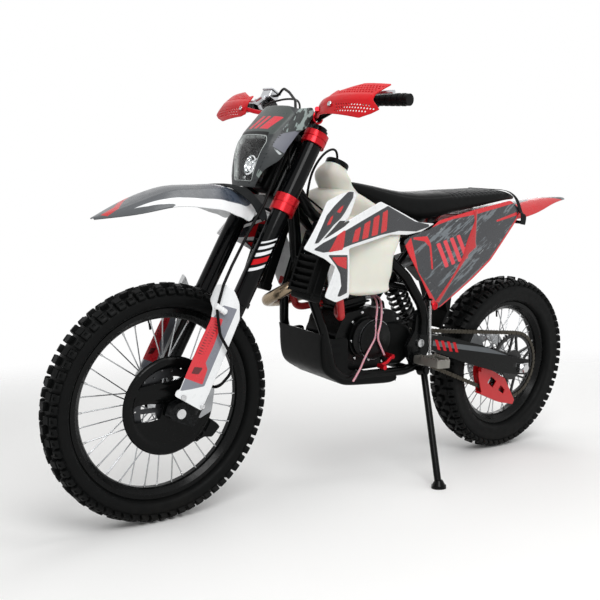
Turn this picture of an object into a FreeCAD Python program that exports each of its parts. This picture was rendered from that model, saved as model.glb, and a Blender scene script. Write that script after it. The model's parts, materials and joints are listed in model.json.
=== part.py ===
import FreeCAD, Part
import math
import os

# Trail motorcycle, modelled upright in millimetres and then leaned over onto its side stand.
# While it is modelled, +X is forward, +Y is the rider's left, +Z is up, x = 0 is the rear axle
# and z = 0 is the ground. Steered parts are described in fork coordinates: u forward across
# the steering axis, y to the left, s up along it, from the foot of the front axle's perpendicular.

# Stance
wheelbase = 1480.0
lean = 7.5
rake = 26.5
axle_lead = 35.0
clamp_offset = 22.0
fork_half_spacing = 103.0
shaft_gap = 0.06
seat_gap = 0.3

# Wheels
front_tyre_radius = 350.0
front_tyre_half_width = 44.0
front_seat_radius = 269.0
front_rim_half_width = 25.0
rear_tyre_radius = 338.0
rear_tyre_half_width = 52.0
rear_seat_radius = 231.0
rear_rim_half_width = 31.0
lug_height = 12.0
flange_height = 10.0
rim_depth = 20.0
spoke_radius = 1.9
spoke_pairs = 18
spoke_cross_angle = 60.0
front_lug_pairs = 20
rear_lug_pairs = 18
lug_share = 0.31
axle_radius = 10.0
front_hub_radius = 23.0
front_hub_flange = 34.0
front_hub_half_width = 34.0
rear_hub_radius = 30.0
rear_hub_flange = 48.0
rear_hub_half_width = 38.0
brake_carrier_radius = 40.0
hub_bush_radius = 15.0
front_bush_half = 72.0
rear_bush_half = 78.0

# Brakes and drive
front_disc_radius = 130.0
rear_disc_radius = 110.0
disc_thickness = 3.0
disc_guard_gap = 10.0
front_caliper_reach = 22.0
rear_caliper_reach = 14.0
front_disc_y = 60.0
rear_disc_y = -60.0
chain_pitch = 15.875
rear_teeth = 50
drive_teeth = 14
chain_y = 68.0
chain_half_width = 7.0
chain_plate_half_height = 8.0
sprocket_thickness = 7.0
drive_x = 626.0
drive_z = 482.0

# Fork and steering
outer_tube_radius = 28.5
outer_tube_low = 345.0
outer_tube_high = 914.0
fork_guard_side = 38.0
fork_guard_front = 88.0
fork_guard_low = 34.0
fork_guard_high = 366.0
axle_lug_half = 17.0
inner_tube_radius = 24.0
inner_tube_low = 12.0
lower_clamp_low = 640.0
lower_clamp_height = 52.0
upper_clamp_low = 864.0
upper_clamp_height = 38.0
clamp_wall = 8.5
stem_radius = 14.0
head_tube_radius = 27.0
bar_radius = 11.1
bar_centre_radius = 14.3
bar_half_width = 405.0
bar_centre_u = 36.0
bar_centre_s = 948.0
bar_end_u = 0.0
bar_end_s = 1020.0
grip_radius = 16.5
grip_length = 122.0
steering_stop = 40.0

# Frame
tube_radius = 15.0
spar_half_width = 15.0
pivot_x = 562.0
pivot_z = 478.0
pivot_radius = 9.0
pivot_half_span = 98.0
frame_plate_inner = 100.0
frame_plate = 16.0
arm_inner = 84.0
arm_outer = 118.0
head_low = 694.0
head_high = 861.0

# Stand
stand_pivot_x = 556.0
stand_pivot_y = 138.0
stand_pivot_z = 386.0
stand_axis_tilt = 15.0
stand_foot_x = 626.0
stand_foot_y = 315.0
stand_foot_sink = 0.93
stand_tube_radius = 11.5
stand_travel = 97.0
stand_eye_radius = 17.0
stand_eye_width = 22.0
stand_pin_radius = 6.0
stand_head_radius = 11.0
stand_spring_radius = 5.5
brake_hose_radius = 4.2
throttle_cable_radius = 3.2
drain_hose_radius = 3.5

# Tank
cap_radius = 44.0
cap_level = 56.0
neck_base_radius = 80.0
neck_height = 86.0

# Panels
panel_thickness = 3.2
radiator_tilt = 18.0
radiator_x = 1070.0
radiator_z = 668.0
radiator_height = 205.0
radiator_inner = 76.0
radiator_outer = 178.0
peg_lug_face = 124.0
tail_tip_x = -292.0


def vec(x, y, z):
    return FreeCAD.Vector(x, y, z)


def cosd(a):
    return math.cos(math.radians(a))


def sind(a):
    return math.sin(math.radians(a))


# The steering axis, and fork coordinates turned into the upright frame.
steer_foot_x = wheelbase - (clamp_offset + axle_lead) * cosd(rake)
steer_foot_z = front_tyre_radius - (clamp_offset + axle_lead) * sind(rake)
fork_placement = FreeCAD.Placement(
    vec(steer_foot_x, 0, steer_foot_z), FreeCAD.Rotation(vec(0, 1, 0), -rake)
)
axle_u = clamp_offset + axle_lead


def steered(shape):
    moved = shape.copy()
    moved.Placement = fork_placement.multiply(moved.Placement)
    return moved


def fork_local(x, y, z):
    """Fork coordinates of an upright point."""
    dx = x - steer_foot_x
    dz = z - steer_foot_z
    return vec(dx * cosd(rake) + dz * sind(rake), y, dz * cosd(rake) - dx * sind(rake))


def mirrored(shape):
    return shape.mirror(vec(0, 0, 0), vec(0, 1, 0))


def both_sides(shape):
    return Part.makeCompound([shape, mirrored(shape)])


def rounded_wire(points, radii, closed=False):
    """Straight runs joined by tangent arcs. An arc is limited by its shorter run."""
    count = len(points)
    if not isinstance(radii, (list, tuple)):
        radii = [radii] * count
    corners = []
    for i, corner in enumerate(points):
        if radii[i] <= 0 or (not closed and i in (0, count - 1)):
            corners.append((corner, None, corner))
            continue
        before = points[i - 1] - corner
        after = points[(i + 1) % count] - corner
        room = 0.48 * min(before.Length, after.Length)
        before.normalize()
        after.normalize()
        half = before.getAngle(after) / 2
        if half > math.pi / 2 - 0.005:
            corners.append((corner, None, corner))
            continue
        reach = min(radii[i] / math.tan(half), room)
        radius = reach * math.tan(half)
        middle = (before + after).normalize()
        apex = corner + middle * (radius / math.sin(half) - radius)
        corners.append((corner + before * reach, apex, corner + after * reach))
    edges = []
    for i, (start, apex, end) in enumerate(corners):
        if apex is not None:
            edges.append(Part.Arc(start, apex, end).toShape())
        if closed or i < count - 1:
            following = corners[(i + 1) % count][0]
            if (following - end).Length > 1e-6:
                edges.append(Part.makeLine(end, following))
    return Part.Wire(edges)


def tube(points, radius, bend):
    """A round bar along a path of runs and arcs."""
    path = rounded_wire(points, bend)
    circle = Part.Wire([Part.makeCircle(radius, points[0], points[1] - points[0])])
    return path.makePipeShell([circle], True, False)


def rod(start, end, radius):
    along = end - start
    return Part.makeCylinder(radius, along.Length, start, along)


def prism(outline, y_low, y_high, radius=0.0, axis="y"):
    """A rounded outline of (a, b) pairs, extruded along an axis: y from xz, x from yz, z from xy."""
    place = {
        "y": lambda a, b: vec(a, y_low, b),
        "x": lambda a, b: vec(y_low, a, b),
        "z": lambda a, b: vec(a, b, y_low),
    }[axis]
    way = {"y": vec(0, 1, 0), "x": vec(1, 0, 0), "z": vec(0, 0, 1)}[axis]
    wire = rounded_wire([place(a, b) for a, b in outline], radius, closed=True)
    return Part.Face(wire).extrude(way * (y_high - y_low))


def spline_prism(outline, low, high, axis="y"):
    """The same, with one smooth closed curve through the points."""
    place = {
        "y": lambda a, b: vec(a, low, b),
        "x": lambda a, b: vec(low, a, b),
        "z": lambda a, b: vec(a, b, low),
    }[axis]
    way = {"y": vec(0, 1, 0), "x": vec(1, 0, 0), "z": vec(0, 0, 1)}[axis]
    curve = Part.BSplineCurve()
    curve.interpolate([place(a, b) for a, b in outline], PeriodicFlag=True)
    return Part.Face(Part.Wire([curve.toShape()])).extrude(way * (high - low))


def sheet(outer, offset):
    """A curved wall: one smooth surface through the grid of points, closed by the same moved by offset."""
    top = Part.BSplineSurface()
    top.interpolate(outer)
    base = Part.BSplineSurface()
    base.interpolate([[p + offset for p in row] for row in outer])
    return top.toShape().extrude(offset)


def fused(shapes):
    shapes = list(shapes)
    joined = shapes[0].multiFuse(shapes[1:])
    return joined.removeSplitter()


def solid_of(shape):
    """The solids of a boolean's result, as one compound or one solid."""
    solids = shape.Solids
    return solids[0] if len(solids) == 1 else Part.makeCompound(solids)


def rounded_box(x0, x1, y0, y1, z0, z1, radius):
    box = Part.makeBox(x1 - x0, y1 - y0, z1 - z0, vec(x0, y0, z0))
    return box.makeFillet(radius, box.Edges)


# Wheels


def lugged_tyre(radius, half_width, seat_radius, rim_half, lug_pairs):
    """A tyre as one faceted shell: rings of cells round the wheel, where a cell stands up as a lug or not."""
    bead_half = rim_half - 4.5
    carcass = radius - lug_height
    wide = seat_radius + 0.5 * (carcass - seat_radius)
    base = [
        (-bead_half, seat_radius + 1.5),
        (-bead_half, seat_radius + flange_height + 1.5),
        (-half_width + 4, seat_radius + flange_height + 12),
        (-half_width, wide),
        (-half_width + 1.5, carcass - 17),
        (-half_width * 0.66, carcass - 6),
        (-half_width * 0.22, carcass),
    ]
    base += [(-y, r) for y, r in reversed(base)]
    first, last = 4, 9
    peaks = {
        4: (-half_width - 3, carcass - 7),
        5: (-half_width * 0.66, carcass - 6 + lug_height),
        6: (-half_width * 0.22, radius),
    }
    for j in (4, 5, 6):
        peaks[13 - j] = (-peaks[j][0], peaks[j][1])
    patterns = [(1, 0, 1, 0, 1), None, (1, 1, 0, 1, 1), None]
    pitch = 2 * math.pi / lug_pairs
    steps = [lug_share, 0.5 - lug_share, lug_share, 0.5 - lug_share]
    angles = []
    raised = []
    turn = -pitch * lug_share / 2 - math.pi / 2
    for _ in range(lug_pairs):
        for share, pattern in zip(steps, patterns):
            angles.append(turn)
            raised.append(pattern)
            turn += share * pitch
    count = len(angles)

    def point(i, j, up):
        y, r = peaks[j] if up else base[j]
        a = angles[i % count]
        return vec(r * math.cos(a), y, r * math.sin(a))

    def cell_up(i, j):
        pattern = raised[i % count]
        return bool(pattern) and first <= j < last and bool(pattern[j - first])

    faces = []

    def quad(a, b, c, d):
        ring = [p for k, p in enumerate([a, b, c, d]) if (p - [d, a, b, c][k]).Length > 1e-6]
        faces.append(Part.Face(Part.makePolygon(ring + [ring[0]])))

    for i in range(count):
        for j in range(len(base) - 1):
            up = cell_up(i, j)
            quad(point(i, j, up), point(i + 1, j, up), point(i + 1, j + 1, up), point(i, j + 1, up))
            if up != cell_up(i - 1, j):
                quad(point(i, j, 0), point(i, j, 1), point(i, j + 1, 1), point(i, j + 1, 0))
            if up != cell_up(i, j - 1) and j > 0:
                quad(point(i, j, 0), point(i, j, 1), point(i + 1, j, 1), point(i + 1, j, 0))
        inner_low, inner_high = point(i, 0, 0), point(i, len(base) - 1, 0)
        quad(inner_low, inner_high, point(i + 1, len(base) - 1, 0), point(i + 1, 0, 0))
    shell = Part.Shell(faces)
    shell.sewShape()
    return Part.Solid(shell)


def rim(seat_radius, half_width):
    """A spoked wheel's drop-centre rim, turned about its axle."""
    well = seat_radius - 11
    inside = seat_radius - rim_depth
    half = [
        (half_width, seat_radius + flange_height),
        (half_width, seat_radius - 3),
        (half_width * 0.52, inside + 4),
        (half_width * 0.3, inside),
    ]
    upper = [
        (half_width - 3.5, seat_radius + flange_height),
        (half_width - 3.5, seat_radius),
        (half_width * 0.55, seat_radius - 1),
        (half_width * 0.35, well),
    ]
    outline = upper[::-1] + half + [(-y, r) for y, r in reversed(half)] + [(-y, r) for y, r in upper]
    wire = Part.makePolygon([vec(0, y, r) for y, r in outline + outline[:1]])
    return Part.Face(wire).revolve(vec(0, 0, 0), vec(0, 1, 0), 360)


def spoked_wheel(seat_radius, rim_half, barrel, flange, half_width, bush_half, seats):
    """Rim, crossed spokes and hub as one piece, open along the axle.

    seats lists (y, radius) of the faces that carry a disc or a sprocket.
    """
    inside_radius = seat_radius - rim_depth
    solids = [
        Part.makeCylinder(barrel, 2 * half_width, vec(0, -half_width, 0), vec(0, 1, 0)),
        Part.makeCylinder(hub_bush_radius, 2 * bush_half, vec(0, -bush_half, 0), vec(0, 1, 0)),
    ]
    flange_thickness = 6.0
    for side in (-1, 1):
        start = side * half_width - flange_thickness / 2
        solids.append(Part.makeCylinder(flange, flange_thickness, vec(0, start, 0), vec(0, 1, 0)))
    for face_y, radius in seats:
        solids.append(Part.makeCylinder(radius, abs(face_y), vec(0, min(0, face_y), 0), vec(0, 1, 0)))
    body = fused(solids)
    spokes = []
    hole_radius = flange - 5
    reach = inside_radius + 5
    for side in (-1, 1):
        for k in range(spoke_pairs):
            phase = 360.0 / spoke_pairs * k + (180.0 / spoke_pairs if side < 0 else 0)
            lead = spoke_cross_angle if k % 2 == 0 else -spoke_cross_angle
            head_y = side * (half_width + (1.0 if k % 2 == 0 else -1.0))
            head = vec(hole_radius * cosd(phase), head_y, hole_radius * sind(phase))
            tip = vec(reach * cosd(phase + lead), side * rim_half * 0.12, reach * sind(phase + lead))
            spokes.append(rod(head, tip, spoke_radius))
    joined = body.multiFuse(spokes + [rim(seat_radius, rim_half)])
    bore = Part.makeCylinder(
        axle_radius + shaft_gap, 2 * bush_half + 10, vec(0, -bush_half - 5, 0), vec(0, 1, 0)
    )
    return solid_of(joined.cut(bore))


def brake_disc(radius, y, mount_radius):
    """A disc with a scalloped edge, cooling holes and an open centre with arms."""
    disc = Part.makeCylinder(radius, disc_thickness, vec(0, y - disc_thickness / 2, 0), vec(0, 1, 0))
    cuts = []
    scallops = 12
    for k in range(scallops):
        a = 360.0 / scallops * k
        place = vec((radius + 5) * cosd(a), y - 5, (radius + 5) * sind(a))
        cuts.append(Part.makeCylinder(9, 10, place, vec(0, 1, 0)))
        inner = radius - 22
        for step, drill_radius in ((0, inner), (15, inner + 8)):
            place = vec(drill_radius * cosd(a + step), y - 5, drill_radius * sind(a + step))
            cuts.append(Part.makeCylinder(3.2, 10, place, vec(0, 1, 0)))
    ring_inner = radius - 38
    window = Part.makeCylinder(ring_inner, 10, vec(0, y - 5, 0), vec(0, 1, 0)).cut(
        Part.makeCylinder(mount_radius + 9, 10, vec(0, y - 5, 0), vec(0, 1, 0))
    )
    arms = []
    for k in range(6):
        arm = Part.makeBox(ring_inner + 8, 10, 14, vec(0, y - 5, -7))
        arm.rotate(vec(0, 0, 0), vec(0, 1, 0), 60 * k)
        arms.append(arm)
    window = window.cut(arms[0].multiFuse(arms[1:]))
    cuts.append(window)
    cuts.append(Part.makeCylinder(hub_bush_radius + seat_gap, 10, vec(0, y - 5, 0), vec(0, 1, 0)))
    disc = disc.cut(cuts[0].multiFuse(cuts[1:]))
    return solid_of(disc)


def sprocket_pitch_radius(teeth):
    return chain_pitch / 2 / math.sin(math.pi / teeth)


def rear_sprocket():
    """Toothed ring with crossed arms, seated on the hub's left flange."""
    pitch_radius = sprocket_pitch_radius(rear_teeth)
    root = pitch_radius - 4.6
    tip = pitch_radius + 3.0
    outline = []
    step = 2 * math.pi / rear_teeth
    for k in range(rear_teeth):
        for share, r in ((-0.28, root), (0.28, root), (0.42, tip), (0.58, tip)):
            a = (k + share) * step
            outline.append(vec(r * math.cos(a), 0, r * math.sin(a)))
    face = Part.Face(Part.makePolygon(outline + outline[:1]))
    half = sprocket_thickness / 2
    body = face.extrude(vec(0, sprocket_thickness, 0))
    body.translate(vec(0, chain_y - half, 0))
    ring_inner = root - 12
    windows = Part.makeCylinder(ring_inner, 20, vec(0, chain_y - 10, 0), vec(0, 1, 0)).cut(
        Part.makeCylinder(rear_hub_flange + 10, 20, vec(0, chain_y - 10, 0), vec(0, 1, 0))
    )
    arms = []
    for k in range(6):
        for slant in (-26, 26):
            a = 60 * k
            start = vec((rear_hub_flange + 2) * cosd(a), chain_y, (rear_hub_flange + 2) * sind(a))
            end = vec((root - 6) * cosd(a + slant), chain_y, (root - 6) * sind(a + slant))
            arm = Part.makeBox((end - start).Length, 20, 8, vec(0, -10, -4))
            heading = math.degrees(math.atan2(end.z - start.z, end.x - start.x))
            arm.rotate(vec(0, 0, 0), vec(0, 1, 0), -heading)
            arm.translate(start)
            arms.append(arm)
    windows = windows.cut(arms[0].multiFuse(arms[1:]))
    bore = Part.makeCylinder(hub_bush_radius + seat_gap, 20, vec(0, chain_y - 10, 0), vec(0, 1, 0))
    body = body.cut(windows).cut(bore)
    return solid_of(body)


# Chain: the band round both sprockets, in the plane of the drive.


def chain():
    big = sprocket_pitch_radius(rear_teeth)
    small = sprocket_pitch_radius(drive_teeth)
    gap = math.hypot(drive_x, drive_z - rear_tyre_radius)
    tilt = math.atan2(drive_z - rear_tyre_radius, drive_x)
    wrap = math.acos((big - small) / gap)

    def loop(offset):
        upper_big = vec(
            (big + offset) * math.cos(tilt + wrap), 0, (big + offset) * math.sin(tilt + wrap)
        )
        lower_big = vec(
            (big + offset) * math.cos(tilt - wrap), 0, (big + offset) * math.sin(tilt - wrap)
        )
        back = vec(-(big + offset) * math.cos(tilt), 0, -(big + offset) * math.sin(tilt))
        centre = vec(drive_x, 0, drive_z - rear_tyre_radius)
        upper_small = centre + vec(
            (small + offset) * math.cos(tilt + wrap), 0, (small + offset) * math.sin(tilt + wrap)
        )
        lower_small = centre + vec(
            (small + offset) * math.cos(tilt - wrap), 0, (small + offset) * math.sin(tilt - wrap)
        )
        front = centre + vec((small + offset) * math.cos(tilt), 0, (small + offset) * math.sin(tilt))
        return Part.Wire(
            [
                Part.Arc(upper_big, back, lower_big).toShape(),
                Part.makeLine(lower_big, lower_small),
                Part.Arc(lower_small, front, upper_small).toShape(),
                Part.makeLine(upper_small, upper_big),
            ]
        )

    band = Part.Face(loop(chain_plate_half_height)).extrude(vec(0, 2 * chain_half_width, 0))
    hollow = Part.Face(loop(-chain_plate_half_height)).extrude(vec(0, 2 * chain_half_width, 0))
    ring = band.cut(hollow)
    ring.translate(vec(0, chain_y - chain_half_width, rear_tyre_radius))
    groove_half = sprocket_thickness / 2 + 1.0
    groove = Part.Face(loop(5.2)).extrude(vec(0, 2 * groove_half, 0))
    groove.translate(vec(0, chain_y - groove_half, rear_tyre_radius))
    return solid_of(ring.cut(groove))


def drive_sprocket():
    small = sprocket_pitch_radius(drive_teeth)
    outline = []
    step = 2 * math.pi / drive_teeth
    for k in range(drive_teeth):
        for share, r in ((-0.25, small - 4.6), (0.25, small - 4.6), (0.42, small + 3), (0.58, small + 3)):
            a = (k + share) * step
            outline.append(vec(r * math.cos(a), 0, r * math.sin(a)))
    face = Part.Face(Part.makePolygon(outline + outline[:1]))
    body = face.extrude(vec(0, sprocket_thickness, 0))
    body.translate(vec(drive_x, chain_y - sprocket_thickness / 2, drive_z))
    return body


# Fork, clamps, bars and what is carried on them, in fork coordinates


def fork_tubes():
    y = fork_half_spacing
    low = vec(clamp_offset, y, outer_tube_low)
    outer = Part.makeCylinder(outer_tube_radius, outer_tube_high - outer_tube_low, low)
    seal_ring = Part.makeCylinder(outer_tube_radius + 2.5, 14, low)
    cap = Part.makeCylinder(outer_tube_radius - 5, 8, vec(clamp_offset, y, outer_tube_high))
    body = fused([outer, seal_ring, cap])
    hollow = Part.makeCylinder(
        inner_tube_radius + shaft_gap, 120, vec(clamp_offset, y, outer_tube_low - 10)
    )
    return both_sides(body.cut(hollow))


def fork_legs():
    y = fork_half_spacing
    tube_top = outer_tube_low + 110
    inner = Part.makeCylinder(
        inner_tube_radius, tube_top - inner_tube_low, vec(clamp_offset, y, inner_tube_low)
    )
    lug_half = axle_lug_half
    outline = [
        (clamp_offset - 26, -22),
        (axle_u + 24, -26),
        (axle_u + 27, 14),
        (axle_u + 6, 34),
        (clamp_offset + 22, 84),
        (clamp_offset - 26, 84),
    ]
    lug = prism(outline, y - lug_half, y + lug_half, 12)
    body = fused([inner, lug])
    bore = Part.makeCylinder(
        axle_radius, 4 * lug_half, vec(axle_u, y - 2 * lug_half, 0), vec(0, 1, 0)
    )
    return both_sides(body.cut(bore))


def clamp_plate(low, height, stem_hole):
    """One fork clamp: a ring round each tube and a web to the stem's boss."""
    y = fork_half_spacing
    ring = outer_tube_radius + clamp_wall
    web = prism(
        [(-22, -y), (8, -y - 24), (40, -y), (34, -50), (34, 50), (40, y), (8, y + 24), (-22, y), (-30, 22), (-30, -22)],
        low + 6,
        low + height - 6,
        10,
        "z",
    )
    rings = []
    for side in (-1, 1):
        centre = vec(clamp_offset, side * y, low)
        rings.append(Part.makeCylinder(ring, height, centre))
        groove = Part.makeCylinder(ring + 1, 3.5, centre + vec(0, 0, height / 2 - 1.75)).cut(
            Part.makeCylinder(ring - 2.5, 3.5, centre + vec(0, 0, height / 2 - 1.75))
        )
        rings[-1] = rings[-1].cut(groove)
    boss = Part.makeCylinder(stem_radius + 12, height, vec(0, 0, low))
    body = fused([web, boss] + rings)
    holes = [
        Part.makeCylinder(outer_tube_radius, height + 20, vec(clamp_offset, side * y, low - 10))
        for side in (-1, 1)
    ]
    body = body.cut(holes[0].fuse(holes[1]))
    if stem_hole:
        body = body.cut(Part.makeCylinder(stem_radius, height + 20, vec(0, 0, low - 10)))
    return body


def triple_clamps():
    stem_top = upper_clamp_low + upper_clamp_height + 12
    stem = Part.makeCylinder(stem_radius, stem_top - lower_clamp_low, vec(0, 0, lower_clamp_low))
    nut = prism(
        [(19 * cosd(60 * k), 19 * sind(60 * k)) for k in range(6)],
        upper_clamp_low + upper_clamp_height,
        stem_top,
        0,
        "z",
    )
    lower = clamp_plate(lower_clamp_low, lower_clamp_height, False)
    upper = clamp_plate(upper_clamp_low, upper_clamp_height, False)
    risers = []
    for side in (-1, 1):
        base = vec(bar_centre_u - 16, side * 52 - 12, upper_clamp_low + upper_clamp_height - 12)
        top = bar_centre_s + bar_centre_radius + 6
        risers.append(Part.makeBox(32, 24, top - base.z, base))
    body = fused([lower, upper, stem, nut] + risers)
    seat = Part.makeCylinder(bar_centre_radius, 200, vec(bar_centre_u, -100, bar_centre_s), vec(0, 1, 0))
    return solid_of(body.cut(seat))


def bar_path():
    bend_y = 190.0
    bend_u = 30.0
    bend_s = 1010.0
    straight_y = 92.0
    left = [
        vec(bar_end_u, bar_half_width, bar_end_s),
        vec(bend_u, bend_y, bend_s),
        vec(bar_centre_u, straight_y, bar_centre_s),
    ]
    return left + [vec(p.x, -p.y, p.z) for p in reversed(left)]


def handlebar():
    ends = tube(bar_path(), bar_radius, 60)
    centre = Part.makeCylinder(bar_centre_radius, 144, vec(bar_centre_u, -72, bar_centre_s), vec(0, 1, 0))
    return fused([ends, centre])


def bar_end_direction():
    path = bar_path()
    return (path[0] - path[1]).normalize()


def bar_point(distance):
    """A point on the left end of the bar, measured inwards from the tip."""
    return bar_path()[0] - bar_end_direction() * distance


def grips():
    along = bar_end_direction()
    tip = bar_point(-3)
    body = Part.makeCylinder(grip_radius, grip_length + 3, tip, along * -1)
    flange = Part.makeCylinder(grip_radius + 8, 5, bar_point(grip_length - 5), along * -1)
    ribs = []
    for k in range(5):
        ribs.append(Part.makeCylinder(grip_radius + 1.2, 10, bar_point(12 + 20 * k), along * -1))
    body = fused([body, flange] + ribs)
    body = body.cut(Part.makeCylinder(bar_radius, grip_length + 40, bar_point(0), along * -1))
    return both_sides(solid_of(body))


def lever_set():
    """Clamp, reservoir block and blade of a hand lever, on the left end of the bar."""
    along = bar_end_direction() * -1
    start = bar_point(grip_length + 14)
    clamp = Part.makeCylinder(bar_radius + 6, 26, start, along)
    arm_base = start + along * 13
    pivot = arm_base + vec(24, 8, -4)
    body = rod(arm_base + vec(8, 0, 0), pivot, 9)
    blade = tube(
        [pivot, pivot + vec(14, 26, -6), pivot + vec(22, 96, -8), pivot + vec(20, 148, -6)], 5.5, 30
    )
    eye = Part.makeCylinder(11, 12, pivot + vec(0, 0, -6))
    piston = rod(pivot, pivot + vec(10, -46, 10), 9)
    body = fused([clamp, body, eye, piston, blade])
    return body.cut(Part.makeCylinder(bar_radius, 80, start - along * 20, along))


def bar_controls_right():
    tank_low = bar_end_s + 4
    tank = rounded_box(14, 52, -252, -200, tank_low, tank_low + 26, 5)
    lid = rounded_box(12, 54, -254, -198, tank_low + 26, tank_low + 32, 2)
    return solid_of(mirrored(lever_set()).fuse(tank).fuse(lid))


def bar_controls():
    return Part.makeCompound([lever_set(), bar_controls_right()])


# The hand guard: a bent shield with a ridge, an upper and a lower wing.
guard_outline = [
    (128, 958),
    (196, 976),
    (214, 1001),
    (228, 995),
    (300, 1026),
    (392, 1028),
    (378, 984),
    (382, 962),
    (412, 938),
    (386, 925),
    (346, 912),
    (228, 922),
    (132, 928),
]


right_guard_outline = [(204, 974)] + guard_outline[2:12] + [(204, 930)]


def hand_guard(outline, arm_path):
    """The shield, trimmed to its outline, and the arm that carries it from a band on the bar."""
    grid = []
    for y, front in ((110, 60), (160, 92), (240, 108), (330, 104), (430, 84)):
        row = []
        for s, back in ((890, 26), (925, 9), (962, 0), (1000, 12), (1040, 34)):
            row.append(vec(front - back, y, s))
        grid.append(row)
    wall = sheet(grid, vec(-panel_thickness, 0, 0))
    cutter = prism(outline, 0, 200, 5, "x")
    shield = solid_of(wall.common(cutter))
    bracket = tube([vec(bar_centre_u, 84, bar_centre_s)] + arm_path, 7, 25)
    band = Part.makeCylinder(
        bar_centre_radius + 5, 18, vec(bar_centre_u, 76, bar_centre_s), vec(0, 1, 0)
    )
    arm = fused([bracket, band])
    arm = arm.cut(wall)
    arm = max(arm.Solids, key=lambda piece: piece.Volume)
    body = fused([arm, shield])
    hollow = fused([tube(bar_path(), bar_radius + 0.2, 60), Part.makeCylinder(
        bar_centre_radius, 144, vec(bar_centre_u, -72, bar_centre_s), vec(0, 1, 0))])
    return solid_of(body.cut(hollow))


def hand_guards():
    left = hand_guard(guard_outline, [vec(62, 120, 944), vec(90, 150, 944)])
    right = hand_guard(right_guard_outline, [vec(66, 120, 946), vec(82, 180, 948), vec(110, 226, 948)])
    return Part.makeCompound([left, mirrored(right)])


# Headlight mask: an outline in front view, folded back at its sides into wings that a side view trims.
mask_half_outline = [
    (60, 934),
    (86, 916),
    (117, 972),
    (117, 790),
    (94, 742),
    (58, 670),
]
mask_side_profile = [
    (200, 640),
    (200, 1000),
    (71, 1000),
    (69, 893),
    (85, 872),
    (98, 785),
    (112, 640),
]
lamp_half_outline = [(64, 820), (75, 800), (45, 686)]
mask_mount_levels = (745, 845)


def mask_sheet(offset_u, thickness):
    grid = []
    half = [(0, 0), (40, 2), (70, 8), (84, 17), (96, 36), (108, 60), (120, 86)]
    for y, back in [(-y, back) for y, back in half[:0:-1]] + half:
        row = []
        for s, front in ((655, 112), (720, 140), (800, 160), (860, 148), (950, 124)):
            row.append(vec(front - back + offset_u, y, s))
        grid.append(row)
    return sheet(grid, vec(-thickness, 0, 0))


def both_halves(half):
    return half + [(-a, b) for a, b in reversed(half)]


def headlight_mask():
    wall = mask_sheet(0, panel_thickness)
    body = wall.common(prism(both_halves(mask_half_outline), 0, 250, 10, "x"))
    body = body.common(prism(mask_side_profile, -200, 200, 6))
    body = body.cut(prism(both_halves(lamp_half_outline), 0, 250, 8, "x"))
    behind = mask_sheet(0, 150)
    front_of_tube = clamp_offset + outer_tube_radius + seat_gap
    straps = []
    for side in (-1, 1):
        for level in mask_mount_levels:
            strap = rod(
                vec(front_of_tube, side * (fork_half_spacing - 6), level), vec(150, side * 76, level), 6
            )
            straps.append(strap.common(behind))
    return solid_of(fused([body] + straps))


def headlight():
    shrink = 0.4
    half = [(y - shrink, s - (0.5 if s > 760 else -0.5)) for y, s in lamp_half_outline]
    lens = mask_sheet(-1, 45).common(prism(both_halves(half), 0, 250, 8, "x"))
    return solid_of(lens)


def fork_guard():
    """A wrap of moulded plastic beside one fork leg and round in front of it."""
    y = fork_half_spacing
    side = y + fork_guard_side
    front = clamp_offset + fork_guard_front
    t = panel_thickness
    outline = [
        (clamp_offset - 12, side),
        (front - 40, side),
        (front - 12, side - 12),
        (front, side - 32),
        (front, y - 20),
        (front - t, y - 20),
        (front - t, side - 33),
        (front - 14, side - 12 - t),
        (front - 41, side - t),
        (clamp_offset - 12, side - t),
    ]
    wall = prism(outline, fork_guard_low, fork_guard_high, 0, "z")
    profile = [
        (clamp_offset - 12, 30),
        (clamp_offset - 8, 150),
        (clamp_offset + 4, 306),
        (clamp_offset + 26, 346),
        (front - 30, 366),
        (front + 2, 330),
        (front + 2, 270),
        (front - 12, 90),
        (front - 16, 60),
        (front + 2, 54),
        (front + 2, 30),
    ]
    wall = wall.common(prism(profile, 0, 300, 8))
    inner_face = y + axle_lug_half
    bosses = []
    for u, level in ((clamp_offset - 6, 56), (clamp_offset + 31, 44)):
        bosses.append(rod(vec(u, inner_face, level), vec(u, side - 1, level), 6))
    leg = Part.makeCylinder(inner_tube_radius + shaft_gap, 400, vec(clamp_offset, y, 0))
    return solid_of(fused([wall] + bosses).cut(leg))


def fork_guards():
    return both_sides(fork_guard())


guard_centre = (5.0, 20.0)
guard_radius = 146.0
caliper_outline = [(-52, -14), (-66, 60), (-96, 92), (-128, 46), (-122, -16), (-84, -34)]


def about_axle(u, s):
    """Offset from the front axle, in upright x and z, of an offset in fork coordinates."""
    return u * cosd(rake) - s * sind(rake), u * sind(rake) + s * cosd(rake)


def leg_room():
    """The left fork leg's tube, about the front axle, with the gap that parts seated on it keep."""
    room = steered(
        Part.makeCylinder(
            inner_tube_radius + shaft_gap, 400, vec(clamp_offset, fork_half_spacing, inner_tube_low - 20)
        )
    )
    room.translate(vec(-wheelbase, 0, -front_tyre_radius))
    return room


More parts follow.
